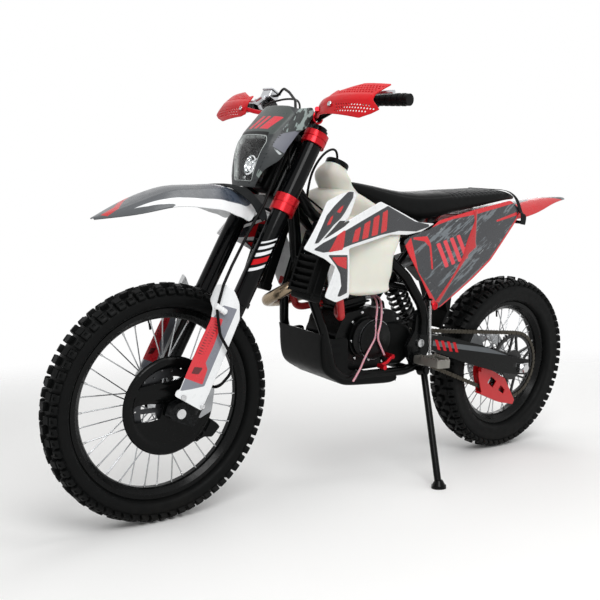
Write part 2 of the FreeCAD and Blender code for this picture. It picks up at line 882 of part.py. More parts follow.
def disc_guard():
    """A dished round cover outside the brake disc, with two windows and a tail below the caliper."""
    y = front_disc_y + disc_guard_gap
    t = panel_thickness
    cx, cz = guard_centre
    dish = Part.makeCylinder(guard_radius, t, vec(cx, y, cz), vec(0, 1, 0))
    lip = Part.makeCylinder(guard_radius, 8, vec(cx, y - 8 + t, cz), vec(0, 1, 0)).cut(
        Part.makeCylinder(guard_radius - t, 8, vec(cx, y - 8 + t, cz), vec(0, 1, 0))
    )
    tail_outline = [
        (-40, -112),
        (40, -60),
        (-60, -20),
        (-114, -42),
        (-158, -58),
        (-144, -88),
        (-112, -90),
        (-76, -90),
    ]
    tail = prism(tail_outline, y, y + t, 8)
    body = fused([dish, lip, tail])
    windows = [
        prism([(103, 78), (81, 112), (37, 138), (-29, 124), (-23, 92), (29, 80)], y - 30, y + 30, 8),
        prism([(121, 28), (49, 36), (31, -18), (115, -20)], y - 30, y + 30, 8),
        prism(caliper_outline, y - 30, y + 30, 8).makeOffsetShape(4, 0.01),
    ]
    for window in windows:
        body = body.cut(window)
    body = body.cut(Part.makeCylinder(36, 60, vec(0, y - 30, 0), vec(0, 1, 0)))
    body = max(body.Solids, key=lambda piece: piece.Volume)
    lug_face = fork_half_spacing - axle_lug_half
    bosses = []
    for u, level in ((-20, 110), (-52, -14)):
        x, z = about_axle(u, level)
        bosses.append(rod(vec(x, y + 1, z), vec(x, lug_face, z), 6))
    return solid_of(fused([body] + bosses).cut(leg_room()))


def front_caliper():
    y = front_disc_y
    block = prism(caliper_outline, y - front_caliper_reach, fork_half_spacing - axle_lug_half, 8)
    slot = Part.makeCylinder(
        front_disc_radius + 3, disc_thickness + 2.4, vec(0, y - disc_thickness / 2 - 1.2, 0), vec(0, 1, 0)
    )
    return solid_of(block.cut(slot).cut(leg_room()))


# Front mudguard, in fork coordinates: (u, s, half width, fall at the edge) from its flat root
# below the lower clamp to its pointed tip.
fender_gap = 0.8
fender_spine = [
    (-30, lower_clamp_low - fender_gap, 40, 1),
    (0, lower_clamp_low - fender_gap, 52, 2),
    (30, lower_clamp_low - fender_gap, 60, 4),
    (60, lower_clamp_low - fender_gap, 62, 8),
    (84, 642, 64, 16),
    (110, 648, 69, 27),
    (166, 642, 78, 46),
    (265, 596, 92, 56),
    (350, 541, 100, 46),
    (421, 460, 88, 26),
    (488, 376, 12, 4),
]


fender_rows = 34


def front_fender():
    """Seven smooth lines run from root to tip, and rows evenly spaced along them carry the sheet."""
    lines = []
    for share in (-1, -0.85, -0.5, 0, 0.5, 0.85, 1):
        line = []
        for u, level, half, drop in fender_spine:
            fall = drop * abs(share) ** 2.6
            line.append(vec(u - fall * sind(rake), half * share, level - fall * cosd(rake)))
        curve = Part.BSplineCurve()
        curve.interpolate(line)
        lines.append(curve.discretize(Number=fender_rows))
    return sheet([list(row) for row in zip(*lines)], vec(0, 0, -panel_thickness))


def front_axle():
    y = fork_half_spacing
    end = y + 24
    shaft = Part.makeCylinder(axle_radius, 2 * end, vec(axle_u, -end, 0), vec(0, 1, 0))
    head = Part.makeCylinder(14, 8, vec(axle_u, end - 7, 0), vec(0, 1, 0))
    nut = prism(
        [(axle_u + 17 * cosd(60 * k), 17 * sind(60 * k)) for k in range(6)], -end - 2, -y - 17, 0
    )
    inner = y - axle_lug_half
    spacers = []
    for side in (-1, 1):
        low = min(side * (front_bush_half + seat_gap), side * inner)
        spacers.append(
            Part.makeCylinder(15, inner - front_bush_half - seat_gap, vec(axle_u, low, 0), vec(0, 1, 0))
        )
    return fused([shaft, head, nut] + spacers)


# Frame

spar_path = [(1064, 0, 1013), (1000, 34, 905), (900, 62, 836), (720, 92, 770), (640, 106, 704),
             (572, 117, 612), (552, 118, 556), (552, 118, 508)]
cradle_path = [(1022, 4, 766), (1006, 74, 645), (978, 104, 545), (938, 108, 425), (890, 104, 388),
               (620, 104, 384), (572, 107, 396), (560, 108, 424)]
rail_path = [(684, 97, 738), (606, 80, 806), (520, 76, 846), (300, 74, 872), (70, 60, 896)]
brace_path = [(562, 113, 600), (506, 106, 676), (400, 92, 756), (180, 68, 884)]


spring_hook = vec(556, 142, 631)


def sided(path, side):
    return [vec(x, side * y, z) for x, y, z in path]


def frame():
    """Head tube, twin spars, split cradle, pivot plates and the tail's rails, welded as one."""
    head = steered(Part.makeCylinder(head_tube_radius, head_high - head_low, vec(0, 0, head_low)))
    down_start = fork_placement.multVec(vec(-8, 0, head_low + 74))
    down_tube = [down_start, vec(1047, 0, 930), vec(1032, 0, 840), vec(1018, 0, 752)]
    pieces = [head, tube(down_tube, tube_radius + 4, 60)]
    for side in (-1, 1):
        pieces.append(tube(sided(cradle_path, side), tube_radius, 70))
        pieces.append(tube(sided(spar_path, side), tube_radius + 2, 90))
        pieces.append(tube(sided(rail_path, side), 10, 60))
        pieces.append(tube(sided(brace_path, side), 10, 60))
        plate_low = min(side * frame_plate_inner, side * (frame_plate_inner + frame_plate))
        plate = prism(
            [
                (606, 424),
                (622, 470),
                (590, 520),
                (586, 590),
                (540, 590),
                (522, 520),
                (520, 440),
                (536, 408),
                (590, 404),
            ],
            plate_low,
            plate_low + frame_plate,
            14,
        )
        pieces.append(plate)
        peg_low = min(side * frame_plate_inner, side * peg_lug_face)
        pieces.append(Part.makeBox(36, peg_lug_face - frame_plate_inner, 40, vec(560, peg_low, 406)))
    for x, z, span, radius in (
        (600, 390, 102, 12),
        (612, 664, 110, 11),
        (548, 833, 75, 9),
        (80, 895, 60, 9),
    ):
        pieces.append(Part.makeCylinder(radius, 2 * span, vec(x, -span, z), vec(0, 1, 0)))
    for side in (-1, 1):
        pieces.append(rod(vec(76, side * 60, 892), vec(76, side * (113 - strap_thickness / 2), 892), 6))
    pieces.append(rod(vec(562, 118, 632), spring_hook + vec(0, 8, 0), 4))
    body = fused(pieces + [stand_lug()])
    bore = steered(Part.makeCylinder(stem_radius + shaft_gap, 400, vec(0, 0, head_low - 60)))
    pivot = Part.makeCylinder(pivot_radius, 300, vec(pivot_x, -150, pivot_z), vec(0, 1, 0))
    return solid_of(body.cut(bore).cut(pivot))


def engine_case():
    case = crankcase()
    left = Part.makeCylinder(62, 22, vec(786, 78, 508), vec(0, 1, 0))
    left_ring = Part.makeCylinder(70, 12, vec(786, 78, 508), vec(0, 1, 0))
    right = prism(
        [(700, 420), (850, 420), (890, 480), (872, 566), (760, 588), (690, 560), (672, 480)], -100, -78, 24
    )
    clutch = Part.makeCylinder(56, 12, vec(742, -112, 500), vec(0, 1, 0))
    body = fused([case, left, left_ring, right, clutch])
    clearance = chain_half_width + 4
    drive_room = prism(
        [(560, 420), (668, 420), (676, 545), (560, 545)], chain_y - clearance, 90, 16
    )
    shaft = Part.makeCylinder(12, 26, vec(drive_x, chain_y - clearance - 6, drive_z), vec(0, 1, 0))
    body = body.cut(drive_room).fuse(shaft)
    teeth_room = Part.makeCylinder(
        60, 2 * clearance, vec(drive_x, chain_y - clearance, drive_z), vec(0, 1, 0)
    ).cut(Part.makeCylinder(12, 60, vec(drive_x, chain_y - 30, drive_z), vec(0, 1, 0)))
    body = body.cut(teeth_room)
    body = max(body.Solids, key=lambda piece: piece.Volume)
    return solid_of(body.fuse(drive_sprocket()))


def cylinder_head():
    tilt = 10
    barrel = rounded_box(-58, 58, -56, 56, 0, 96, 14)
    fins = [rounded_box(-64, 64, -62, 62, 14 + 20 * k, 20 + 20 * k, 2.5) for k in range(4)]
    head = rounded_box(-66, 66, -64, 64, 96, 156, 10)
    cover = rounded_box(-60, 60, -56, 56, 156, 196, 12)
    body = fused([barrel, head, cover] + fins)
    body.rotate(vec(0, 0, 0), vec(0, 1, 0), tilt)
    body.translate(vec(814, 0, 596))
    return solid_of(body.cut(crankcase()))


def crankcase():
    outline = [
        (650, 400),
        (880, 396),
        (908, 430),
        (905, 520),
        (870, 590),
        (760, 604),
        (662, 590),
        (620, 560),
        (596, 520),
        (640, 452),
    ]
    return prism(outline, -78, 78, 22)


def carburettor():
    pieces = [
        rod(vec(770, 0, 700), vec(650, 0, 724), 24),
        rod(vec(724, 0, 640), vec(738, 0, 770), 26),
        rounded_box(700, 752, -28, 28, 622, 668, 8),
        rod(vec(652, 0, 724), vec(502, 0, 762), 26),
    ]
    return solid_of(fused(pieces).cut(cylinder_head()))


silencer_front = vec(328, -166, 742)
silencer_back = vec(-60, -172, 846)
silencer_radius = 46.0
header_radius = 19.0
cone_length = 62.0


def exhaust_header():
    forward = (silencer_front - silencer_back).normalize()
    joint = silencer_front + forward * cone_length
    path = [
        vec(870, -2, 700),
        vec(985, -2, 690),
        vec(1064, -10, 655),
        vec(1060, -102, 612),
        vec(960, -158, 600),
        vec(800, -160, 628),
        vec(640, -162, 650),
        joint + forward * 110,
        joint,
    ]
    pipe = tube(path, header_radius, 60)
    return solid_of(pipe.cut(cylinder_head()))


def silencer(frame_shape):
    back = (silencer_back - silencer_front).normalize()
    body = rod(silencer_front, silencer_back, silencer_radius)
    start = silencer_front - back * cone_length
    cone = Part.makeCone(header_radius + 3, silencer_radius, cone_length, start, back)
    tip = rod(silencer_back, silencer_back + back * 26, 22)
    bracket = rod(vec(200, -82, 880), vec(200, -150, 790), 7)
    return fused([body, cone, tip, solid_of(bracket.cut(frame_shape))])


def radiator_tilted(shape):
    moved = shape.copy()
    moved.rotate(vec(0, 0, 0), vec(0, 1, 0), -radiator_tilt)
    moved.translate(vec(radiator_x, 0, radiator_z))
    return moved


def radiator():
    inner, outer = radiator_inner, radiator_outer
    core = rounded_box(-18, 18, inner + 2, outer - 2, 0, radiator_height, 6)
    top = rounded_box(-22, 22, inner, outer, radiator_height - 8, radiator_height + 18, 8)
    base = rounded_box(-22, 22, inner, outer, -18, 8, 8)
    return radiator_tilted(fused([core, top, base]))


def radiators():
    return both_sides(radiator())


def radiator_guard():
    """Louvred cover in front of a radiator."""
    inner, outer = radiator_inner, radiator_outer
    height = radiator_height - 20
    x = 22 + seat_gap
    border = Part.makeBox(14, outer - inner, height, vec(x, inner, 0))
    window = Part.makeBox(40, outer - inner - 18, height - 20, vec(x - 10, inner + 9, 10))
    slats = []
    count = 8
    for k in range(count):
        slat = Part.makeBox(3, outer - inner - 8, 20, vec(0, inner + 4, 0))
        slat.rotate(vec(0, 0, 0), vec(0, 1, 0), 35)
        slat.translate(vec(x + 1, 0, 12 + (height - 34) / (count - 1) * k))
        slats.append(slat)
    body = fused([border.cut(window)] + slats)
    return radiator_tilted(body)


def radiator_guards():
    return both_sides(radiator_guard())


def coolant_hose():
    start = radiator_tilted(Part.Vertex(vec(0, radiator_outer - 36, -18))).Point
    bend = radiator_tilted(Part.Vertex(vec(0, radiator_outer - 36, -56))).Point
    points = [start, bend, vec(984, 128, 586), vec(920, 100, 572), vec(880, 60, 560)]
    return solid_of(tube(points, 12, 26).cut(crankcase()))


def coolant_hoses():
    left = coolant_hose()
    right = mirrored(left)
    right = solid_of(right.cut(exhaust_header()).cut(engine_case()))
    return Part.makeCompound([left, right])


# Tank


def loft(sections):
    wires = [Part.makePolygon(list(s) + [s[0]]) for s in sections]
    return Part.makeLoft(wires, True, False)


def rounded_section(x, half, z_low, z_high, corner):
    """A closed wire across the bike, rounded at its corners, always with eight edges."""
    corner = min(corner, half * 0.9, (z_high - z_low) * 0.45)
    points = [
        vec(x, -half, z_low),
        vec(x, half, z_low),
        vec(x, half, z_high),
        vec(x, -half, z_high),
    ]
    return rounded_wire(points, corner, closed=True)


def cap_direction():
    return vec(0.12, 0, 1).normalize()


def neck_base():
    return vec(892, 0, 994) + cap_direction() * (cap_level - neck_height)


def fuel_tank():
    sections = [
        rounded_section(966, 54, 884, 962, 24),
        rounded_section(940, 78, 862, 978, 38),
        rounded_section(890, 90, 850, 986, 48),
        rounded_section(852, 92, 848, 982, 46),
        rounded_section(800, 92, 852, 962, 38),
        rounded_section(720, 84, 856, 926, 26),
        rounded_section(640, 66, 860, 892, 12),
    ]
    body = Part.makeLoft(sections, True, False)
    neck = Part.makeCone(neck_base_radius, cap_radius - 2, neck_height, neck_base(), cap_direction())
    lobes = []
    for side in (-1, 1):
        levels = []
        for z, x0, x1, y0, y1 in (
            (664, 800, 900, 112, 136),
            (700, 760, 934, 100, 150),
            (780, 734, 946, 96, 156),
            (850, 700, 956, 70, 140),
            (900, 700, 960, 50, 100),
        ):
            corners = [vec(x0, side * y0, z), vec(x1, side * y0, z), vec(x1, side * y1, z), vec(x0, side * y1, z)]
            levels.append(rounded_wire(corners, 16, closed=True))
        lobes.append(Part.makeLoft(levels, True, False))
    tunnel_outline = [(1100, 1060), (1012, 968), (905, 900), (700, 850), (500, 820), (500, 600), (1100, 600)]
    tunnel = prism(tunnel_outline, -84, 84)
    tank = fused([body.cut(tunnel), neck] + lobes)
    for side in (-1, 1):
        tank = tank.cut(tube(sided(spar_path, side), tube_radius + 6, 90))
    tank = tank.cut(seat())
    return max(tank.Solids, key=lambda piece: piece.Volume)


def fuel_cap(frame_shape):
    """Screw cap, with the breather hose that loops forward from it."""
    up = cap_direction()
    base = vec(892, 0, 994) + up * cap_level
    cap = Part.makeCylinder(cap_radius, 16, base, up)
    crown = Part.makeCylinder(30, 22, base, up)
    hose = tube(
        [
            base + up * 20,
            base + up * 44 + vec(4, 8, 0),
            vec(930, 20, 1106),
            vec(962, 24, 1090),
            vec(990, 26, 1052),
            vec(1010, 24, 1000),
            vec(1014, 20, 938),
        ],
        4,
        22,
    )
    hose = hose.cut(frame_shape)
    hose = max(hose.Solids, key=lambda piece: piece.Volume)
    return fused([cap, crown, hose])


# Side panels and shrouds: a curved side surface trimmed to an outline seen from the side


def side_surface(stations, levels, thickness):
    """stations: (x, y at the low level, y at the middle, y at the top)."""
    grid = []
    for x, *across in stations:
        grid.append([vec(x, y, z) for y, z in zip(across, levels)])
    return sheet(grid, vec(0, -thickness, 0))


shroud_outline = [
    (1173, 816),
    (1069, 949),
    (1000, 972),
    (940, 982),
    (926, 972),
    (968, 912),
    (1002, 886),
    (815, 952),
    (705, 916),
    (624, 888),
    (545, 884),
    (608, 858),
    (680, 848),
    (775, 850),
    (860, 834),
    (981, 812),
    (969, 668),
    (1024, 654),
    (1072, 672),
    (1040, 760),
    (1087, 786),
]


right_panel_outline = [
    (652, 844),
    (690, 826),
    (668, 786),
    (600, 766),
    (480, 790),
    (330, 850),
    (200, 896),
    (104, 912),
    (80, 936),
    (145, 970),
    (337, 934),
    (517, 894),
    (560, 866),
]


def shroud_surface(thickness):
    stations = [
        (520, 118, 122, 122, 112),
        (640, 128, 134, 132, 118),
        (780, 160, 164, 156, 132),
        (920, 196, 196, 182, 154),
        (1060, 214, 222, 212, 182),
        (1200, 216, 236, 238, 222),
    ]
    return side_surface(stations, (640, 760, 880, 1000), thickness)


def shroud(tank_shape):
    wall = shroud_surface(panel_thickness)
    shell = wall.common(prism(shroud_outline, 60, 300, 8))
    inside = shroud_surface(90)
    bosses = []
    for x, z, support in ((1042, 722, radiator()), (862, 878, tank_shape)):
        boss = rod(vec(x, 110, z), vec(x, 260, z), 7).common(inside).cut(support)
        bosses.append(max(boss.Solids, key=lambda piece: piece.BoundBox.YMax))
    return solid_of(fused([shell] + bosses))


side_panel_outline = [
    (652, 844),
    (690, 826),
    (662, 780),
    (619, 724),
    (540, 622),
    (520, 594),
    (492, 598),
    (335, 692),
    (243, 755),
    (177, 823),
    (104, 900),
    (80, 936),
    (145, 970),
    (337, 934),
    (517, 894),
    (560, 866),
]


def panel_surface(thickness):
    stations = [
        (60, 84, 96, 108, 104),
        (220, 100, 116, 118, 108),
        (400, 122, 130, 124, 108),
        (560, 128, 136, 126, 108),
        (720, 136, 142, 134, 120),
    ]
    return side_surface(stations, (580, 700, 840, 980), thickness)


def side_panel(outline, frame_shape):
    wall = panel_surface(panel_thickness)
    shell = wall.common(prism(outline, 60, 300, 10))
    inside = panel_surface(80)
    bosses = []
    for x, z in ((600, 806), (300, 872)):
        boss = rod(vec(x, 60, z), vec(x, 170, z), 6).common(inside)
        boss = boss.cut(frame_shape)
        bosses.append(max(boss.Solids, key=lambda piece: piece.BoundBox.YMax))
    return solid_of(fused([shell] + bosses))


# Seat and tail
seat_sections = [
    (846, 30, 988, 1008),
    (800, 48, 960, 1004),
    (720, 66, 925, 994),
    (610, 78, 892, 983),
    (520, 90, 892, 984),
    (400, 98, 916, 993),
    (250, 102, 946, 1003),
    (130, 92, 968, 1000),
    (86, 74, 972, 986),
]


def seat():
    wires = [
        rounded_section(x, half, low, high, 0.42 * (high - low))
        for x, half, low, high in seat_sections
    ]
    return Part.makeLoft(wires, True, False)


tail_sections = [
    (330, 88, 926, 8, 26),
    (200, 98, 950, 10, 34),
    (60, 92, 966, 14, 36),
    (-80, 72, 984, 14, 26),
    (-200, 44, 1002, 8, 12),
    (tail_tip_x, 22, 1010, 3, 4),
]


def rear_fender(frame_shape):
    grid = []
    for x, half, z, crown, drop in tail_sections:
        row = []
        for share in (-1, -0.9, -0.55, 0, 0.55, 0.9, 1):
            fall = drop * abs(share) ** 4 - crown * (1 - share * share)
            row.append(vec(x, half * share, z - 24 - fall))
        grid.append(row)
    wall = sheet(grid, vec(0, 0, -panel_thickness))
    below = sheet(grid, vec(0, 0, -80))
    feet = []
    for x, y, z in ((240, 71, 878), (90, 62, 894)):
        for side in (-1, 1):
            foot = Part.makeCylinder(8, 90, vec(x, side * y, z)).common(below)
            feet.append(foot.cut(frame_shape))
    return solid_of(fused([wall] + feet))


def airbox(frame_shape):
    """Filter housing between the rails, with the flap that keeps mud off the shock absorber."""
    box = prism([(500, 724), (526, 800), (500, 842), (330, 866), (352, 700), (420, 660)], -58, 58, 16)
    flap = prism([(420, 668), (352, 706), (362, 560), (396, 506), (404, 506), (374, 566)], -56, 56, 3)
    ears = [rod(vec(x, -78, z), vec(x, 78, z), 7) for x, z in ((486, 842), (372, 838))]
    body = fused([box, flap] + ears)
    return solid_of(body.cut(carburettor()).cut(frame_shape))


shock_y = -58.0
shock_low = (452.0, 512.0)
shock_high = (612.0, 764.0)
shock_eye_half = 11.0
shock_wire_radius = 6.0
shock_coil_radius = 34.0
shock_turns = 6.5


def shock():
    low = vec(shock_low[0], shock_y, shock_low[1])
    high = vec(shock_high[0], shock_y, shock_high[1])
    along = (high - low).normalize()
    reach = (high - low).Length
    pieces = [
        rod(low, low + along * (reach * 0.55), 10),
        rod(low + along * (reach * 0.5), high, 24),
        rod(low + along * 22, low + along * 30, 41),
        rod(low + along * (reach - 112), low + along * (reach - 102), 41),
    ]
    for x, z in (shock_low, shock_high):
        eye = Part.makeCylinder(15, 2 * shock_eye_half, vec(x, shock_y - shock_eye_half, z), vec(0, 1, 0))
        pieces.append(eye)
    body = fused(pieces)
    spring_low = 30 + shock_wire_radius - 1
    spring_length = reach - 112 - shock_wire_radius + 1 - spring_low
    helix = Part.makeHelix(spring_length / shock_turns, spring_length, shock_coil_radius)
    wire = Part.Wire([Part.makeCircle(shock_wire_radius, vec(shock_coil_radius, 0, 0), vec(0, 1, 0))])
    coil = Part.Wire(helix.Edges).makePipeShell([wire], True, True)
    coil.Placement = FreeCAD.Placement(
        low + along * spring_low, FreeCAD.Rotation(vec(0, 0, 1), along)
    )
    return solid_of(body.fuse(coil))


# Swingarm


def swingarm():
    pieces = []
    for side in (-1, 1):
        arm = prism(
            [
                (600, 458),
                (600, 500),
                (520, 502),
                (420, 488),
                (250, 446),
                (70, 386),
                (-40, 366),
                (-52, 312),
                (20, 312),
                (150, 336),
                (330, 388),
                (500, 446),
            ],
            min(side * arm_inner, side * arm_outer),
            max(side * arm_inner, side * arm_outer),
            10,
        )
        pieces.append(arm)
    pieces.append(prism([(440, 440), (470, 486), (392, 470), (384, 420)], -90, 90, 12))
    pieces.append(Part.makeCylinder(22, 180, vec(pivot_x, -90, pivot_z), vec(0, 1, 0)))
    for side in (-1, 1):
        inner = shock_y + side * (shock_eye_half + seat_gap)
        y_low = min(inner, inner + side * 6)
        ear = prism([(414, 462), (468, 480), (472, 520), (452, 532), (430, 520)], y_low, y_low + 6, 8)
        pieces.append(ear)
    body = fused(pieces)
    ends = Part.makeBox(104, 30, 150, vec(pivot_x - 50, 0, pivot_z - 70))
    for start in (pivot_half_span, -pivot_half_span - 30):
        end = ends.copy()
        end.translate(vec(0, start, 0))
        body = body.cut(end)
    bore = Part.makeCylinder(pivot_radius, 300, vec(pivot_x, -150, pivot_z), vec(0, 1, 0))
    z = rear_tyre_radius
    slot = prism(
        [(-30, z - axle_radius), (14, z - axle_radius), (14, z + axle_radius), (-30, z + axle_radius)],
        -200,
        200,
        9.9,
    )
    return solid_of(body.cut(bore).cut(slot))


def axle_bolts():
    """Rear axle with its adjuster blocks and nut, and the swingarm's pivot bolt."""
    z = rear_tyre_radius
    shaft_end = arm_outer + 14
    shaft = Part.makeCylinder(axle_radius, 2 * shaft_end, vec(0, -shaft_end, z), vec(0, 1, 0))
    pieces = [shaft]
    for side in (-1, 1):
        low = min(side * arm_outer, side * (arm_outer + 8))
        block = prism([(-26, z - 18), (22, z - 18), (22, z + 18), (-26, z + 18)], low, low + 8, 4)
        pieces.append(block)
        bush_end = rear_bush_half + seat_gap
        low = min(side * bush_end, side * arm_inner)
        pieces.append(Part.makeCylinder(16, arm_inner - bush_end, vec(0, low, z), vec(0, 1, 0)))
    hexagon = [(17 * cosd(60 * k), z + 17 * sind(60 * k)) for k in range(6)]
    pieces.append(prism(hexagon, arm_outer + 8, arm_outer + 20, 0))
    pieces.append(Part.makeCylinder(15, 6, vec(0, -shaft_end, z), vec(0, 1, 0)))
    axle = fused(pieces)
    reach = frame_plate_inner + frame_plate
    bolt = Part.makeCylinder(pivot_radius, 2 * reach, vec(pivot_x, -reach, pivot_z), vec(0, 1, 0))
    heads = [
        Part.makeCylinder(14, 8, vec(pivot_x + 1, reach, pivot_z), vec(0, 1, 0)),
        Part.makeCylinder(14, 8, vec(pivot_x + 1, -reach - 8, pivot_z), vec(0, 1, 0)),
    ]
    return Part.makeCompound([axle, fused([bolt] + heads)])


def chain_guide():
    """Moulded guide below the left arm: two cheeks joined under the chain's lower run."""
    cheek = [
        (206, 352),
        (204, 318),
        (178, 250),
        (72, 206),
        (-14, 188),
        (-18, 200),
        (50, 292),
        (110, 322),
        (160, 344),
    ]
    half = chain_half_width + 3
    wall = 4.0
    pieces = []
    for side in (-1, 1):
        low = min(chain_y + side * half, chain_y + side * (half + wall))
        pieces.append(prism(cheek, low, low + wall, 6))
    sole = [(180, 252), (70, 207), (-14, 189), (-10, 183), (72, 201), (184, 246)]
    pieces.append(prism(sole, chain_y - half - wall, chain_y + half + wall, 0))
    body = fused(pieces)
    for window in (
        [(150, 286), (116, 262), (98, 286), (130, 308)],
        [(84, 250), (50, 230), (44, 246), (70, 268)],
    ):
        body = body.cut(prism(window, 0, 200, 4))
    post = Part.makeBox(34, arm_inner + 8 - chain_y - half, 26, vec(168, chain_y + half, 334))
    body = fused([body, post])
    return solid_of(body.cut(swingarm()))


def rear_caliper():
    y = rear_disc_y
    z = rear_tyre_radius
    outline = [(52, z + 22), (112, z + 56), (128, z + 92), (92, z + 112), (46, z + 80)]
    block = prism(outline, -arm_inner, y + rear_caliper_reach, 8)
    slot = Part.makeCylinder(
        rear_disc_radius + 3, disc_thickness + 2.4, vec(0, y - disc_thickness / 2 - 1.2, z), vec(0, 1, 0)
    )
    return solid_of(block.cut(slot))


# Pegs, pedals, skid plate


def foot_peg():
    peg = prism([(538, 164), (610, 164), (604, 248), (552, 254)], 420, 446, 8, "z")
    inside = prism([(552, 178), (598, 178), (592, 238), (562, 242)], 400, 470, 5, "z")
    bridge = Part.makeBox(8, 84, 14, vec(572, 164, 426))
    teeth = []
    for k in range(7):
        teeth.append(Part.makeBox(4, 7, 5, vec(540 + 1.6 * k, 168 + 11 * k, 446)))
        teeth.append(Part.makeBox(4, 7, 5, vec(604 - 0.7 * k, 168 + 11 * k, 446)))
    root = rounded_box(561, 597, peg_lug_face, 172, 412, 440, 6)
    return fused([peg.cut(inside), bridge, root] + teeth)


def foot_pegs():
    return both_sides(foot_peg())


def gear_lever():
    shaft = Part.makeCylinder(8, 60, vec(696, 70, 444), vec(0, 1, 0))
    arm = tube([vec(696, 124, 444), vec(722, 130, 428), vec(758, 136, 420)], 6, 30)
    toe = Part.makeCylinder(8, 32, vec(758, 130, 420), vec(0, 1, 0))
    return solid_of(fused([shaft, arm, toe]).cut(engine_case()))


def brake_pedal(frame_shape):
    arm = tube([vec(604, -132, 398), vec(700, -134, 404), vec(790, -136, 414)], 7, 40)
    toe = rounded_box(778, 822, -160, -124, 406, 422, 4)
    boss = Part.makeCylinder(11, 18, vec(604, -139, 398), vec(0, 1, 0))
    return solid_of(fused([arm, toe, boss]).cut(frame_shape))


def foot_levers(frame_shape):
    return Part.makeCompound([gear_lever(), brake_pedal(frame_shape)])


def skid_plate():
    profile = [
        (1010, 560),
        (1004, 470),
        (985, 415),
        (930, 372),
        (860, 352),
        (700, 346),
        (684, 356),
        (690, 368),
        (860, 366),
        (922, 386),
        (972, 424),
        (992, 474),
        (998, 560),
    ]
    bottom = prism(profile, -104, 104, 0)
    sides = []
    for side in (-1, 1):
        outline = [(1010, 568), (1006, 470), (986, 414), (930, 371), (860, 352), (700, 346), (684, 356), (690, 384), (880, 396), (884, 508), (936, 520), (976, 536), (992, 566)]
        low = min(side * 124.0, side * (124.0 + panel_thickness))
        sides.append(prism(outline, low, low + panel_thickness, 6))
        join = [(1010, 560), (1004, 470), (985, 415), (930, 372), (860, 352), (700, 346), (700, 350), (860, 356), (926, 378), (980, 420), (1000, 471), (1006, 560)]
        low = min(side * 104.0, side * 126.0)
        sides.append(prism(join, low, low + 22, 0))
    return fused([bottom] + sides)


strap_width = 25.0
strap_thickness = 2.4
strap_points = [
    ((166, 0, 1006.4), (0, 0, 1), (1, 0, 0)),
    ((162, 50, 1006.4), (0, 0.08, 1), (1, -0.1, 0)),
    ((146, 92, 1001.4), (-0.1, 0.6, 0.8), (1, -0.1, 0.2)),
    ((118, 112, 974), (0, 1, 0.2), (0.9, 0, 0.35)),
    ((88, 113, 930), (0, 1, 0), (0.92, 0, 0.3)),
    ((72, 113, 884), (0, 1, 0), (1, 0, 0.1)),
]


def grab_strap():
    """Flat webbing over the seat's back and down both sides of the tail."""
    sections = []
    mirrored_points = [
        ((x, -y, z), (a, -b, c), (d, -e, f)) for (x, y, z), (a, b, c), (d, e, f) in strap_points[:0:-1]
    ]
    for place, normal, across in mirrored_points + strap_points:
        centre = vec(*place)
        out = vec(*normal).normalize() * strap_thickness / 2
        wide = vec(*across).normalize() * strap_width / 2
        corners = [centre + wide + out, centre - wide + out, centre - wide - out, centre + wide - out]
        sections.append(Part.makePolygon(corners + corners[:1]))
    return Part.makeLoft(sections, True, False)


# Hoses and cables


def brake_hose():
    """From the hand lever over the bars, down the left fork leg and back to the caliper."""
    points = [
        vec(34, -200, 1036),
        vec(34, -176, 1036),
        vec(48, -144, 1054),
        vec(58, -84, 1030),
        vec(70, -10, 990),
        vec(80, 44, 930),
        vec(78, 62, 860),
        vec(70, 68, 740),
        vec(76, 86, 640),
        vec(92, 100, 540),
        vec(112, 126, 430),
        vec(118, 138, 370),
        vec(110, 148, 300),
        vec(70, 156, 240),
        vec(10, 156, 205),
        vec(-22, 150, 160),
        vec(-12, 134, 104),
        vec(-12, fork_half_spacing - axle_lug_half, 104),
    ]
    return tube(points, brake_hose_radius, 40)


def throttle_cable():
    """From the right grip across the bars, back between the clamps and under the tank."""
    steered_points = [(26, -243, 996), (44, -205, 990), (54, -160, 1000), (54, -80, 1010), (54, -10, 1000),
                      (62, 38, 935), (62, 46, 870), (46, 48, 810), (6, 50, 765), (-40, 56, 740)]
    points = [fork_placement.multVec(vec(u, y, level)) for u, y, level in steered_points]
    points += [vec(985, 50, 928), vec(900, 40, 874), vec(820, 18, 848), vec(760, 2, 812), vec(738.5, 0, 771.4)]
    return tube(points, throttle_cable_radius, 40)


def drain_hose(points):
    """A limp hose hanging free from the carburettor: runs joined by arcs as large as they allow."""
    radii = [0.0]
    for before, corner, after in zip(points, points[1:], points[2:]):
        back = vec(*before) - vec(*corner)
        ahead = vec(*after) - vec(*corner)
        half_turn = (math.pi - back.getAngle(ahead)) / 2
        radii.append(0.45 * min(back.Length, ahead.Length) / math.tan(half_turn))
    radii.append(0.0)
    print("arc radii", [round(r, 1) for r in radii[1:-1]])
    return tube([vec(*p) for p in points], drain_hose_radius, radii)


front_drain_points = [
    (730, 28, 636),
    (730, 60, 636),
    (748, 95, 607),
    (766, 109, 552),
    (761, 110, 510),
    (788, 113, 474),
    (812, 118, 444),
    (836, 128, 413),
    (868, 135, 380),
]
rear_drain_points = [
    (712, 28, 636),
    (712, 62, 636),
    (730, 96, 604),
    (742, 110, 556),
    (764, 119, 512),
    (742, 118, 478),
    (724, 117, 450),
]


def stand_spring():
    """Coil spring from the frame's hook down to the stand's tab, with its straight hooks."""
    top = spring_hook
    tab = stand_tab_point()
    along = (tab - top).normalize()
    coil_start = top + along * 18
    coil_end = top + along * 196
    body = rod(coil_start, coil_end, stand_spring_radius)
    hooks = [rod(top + along * 4.4, coil_start, 1.6), rod(coil_end, tab - along * 4.6, 1.6)]
    return fused([body] + hooks)


# Side stand


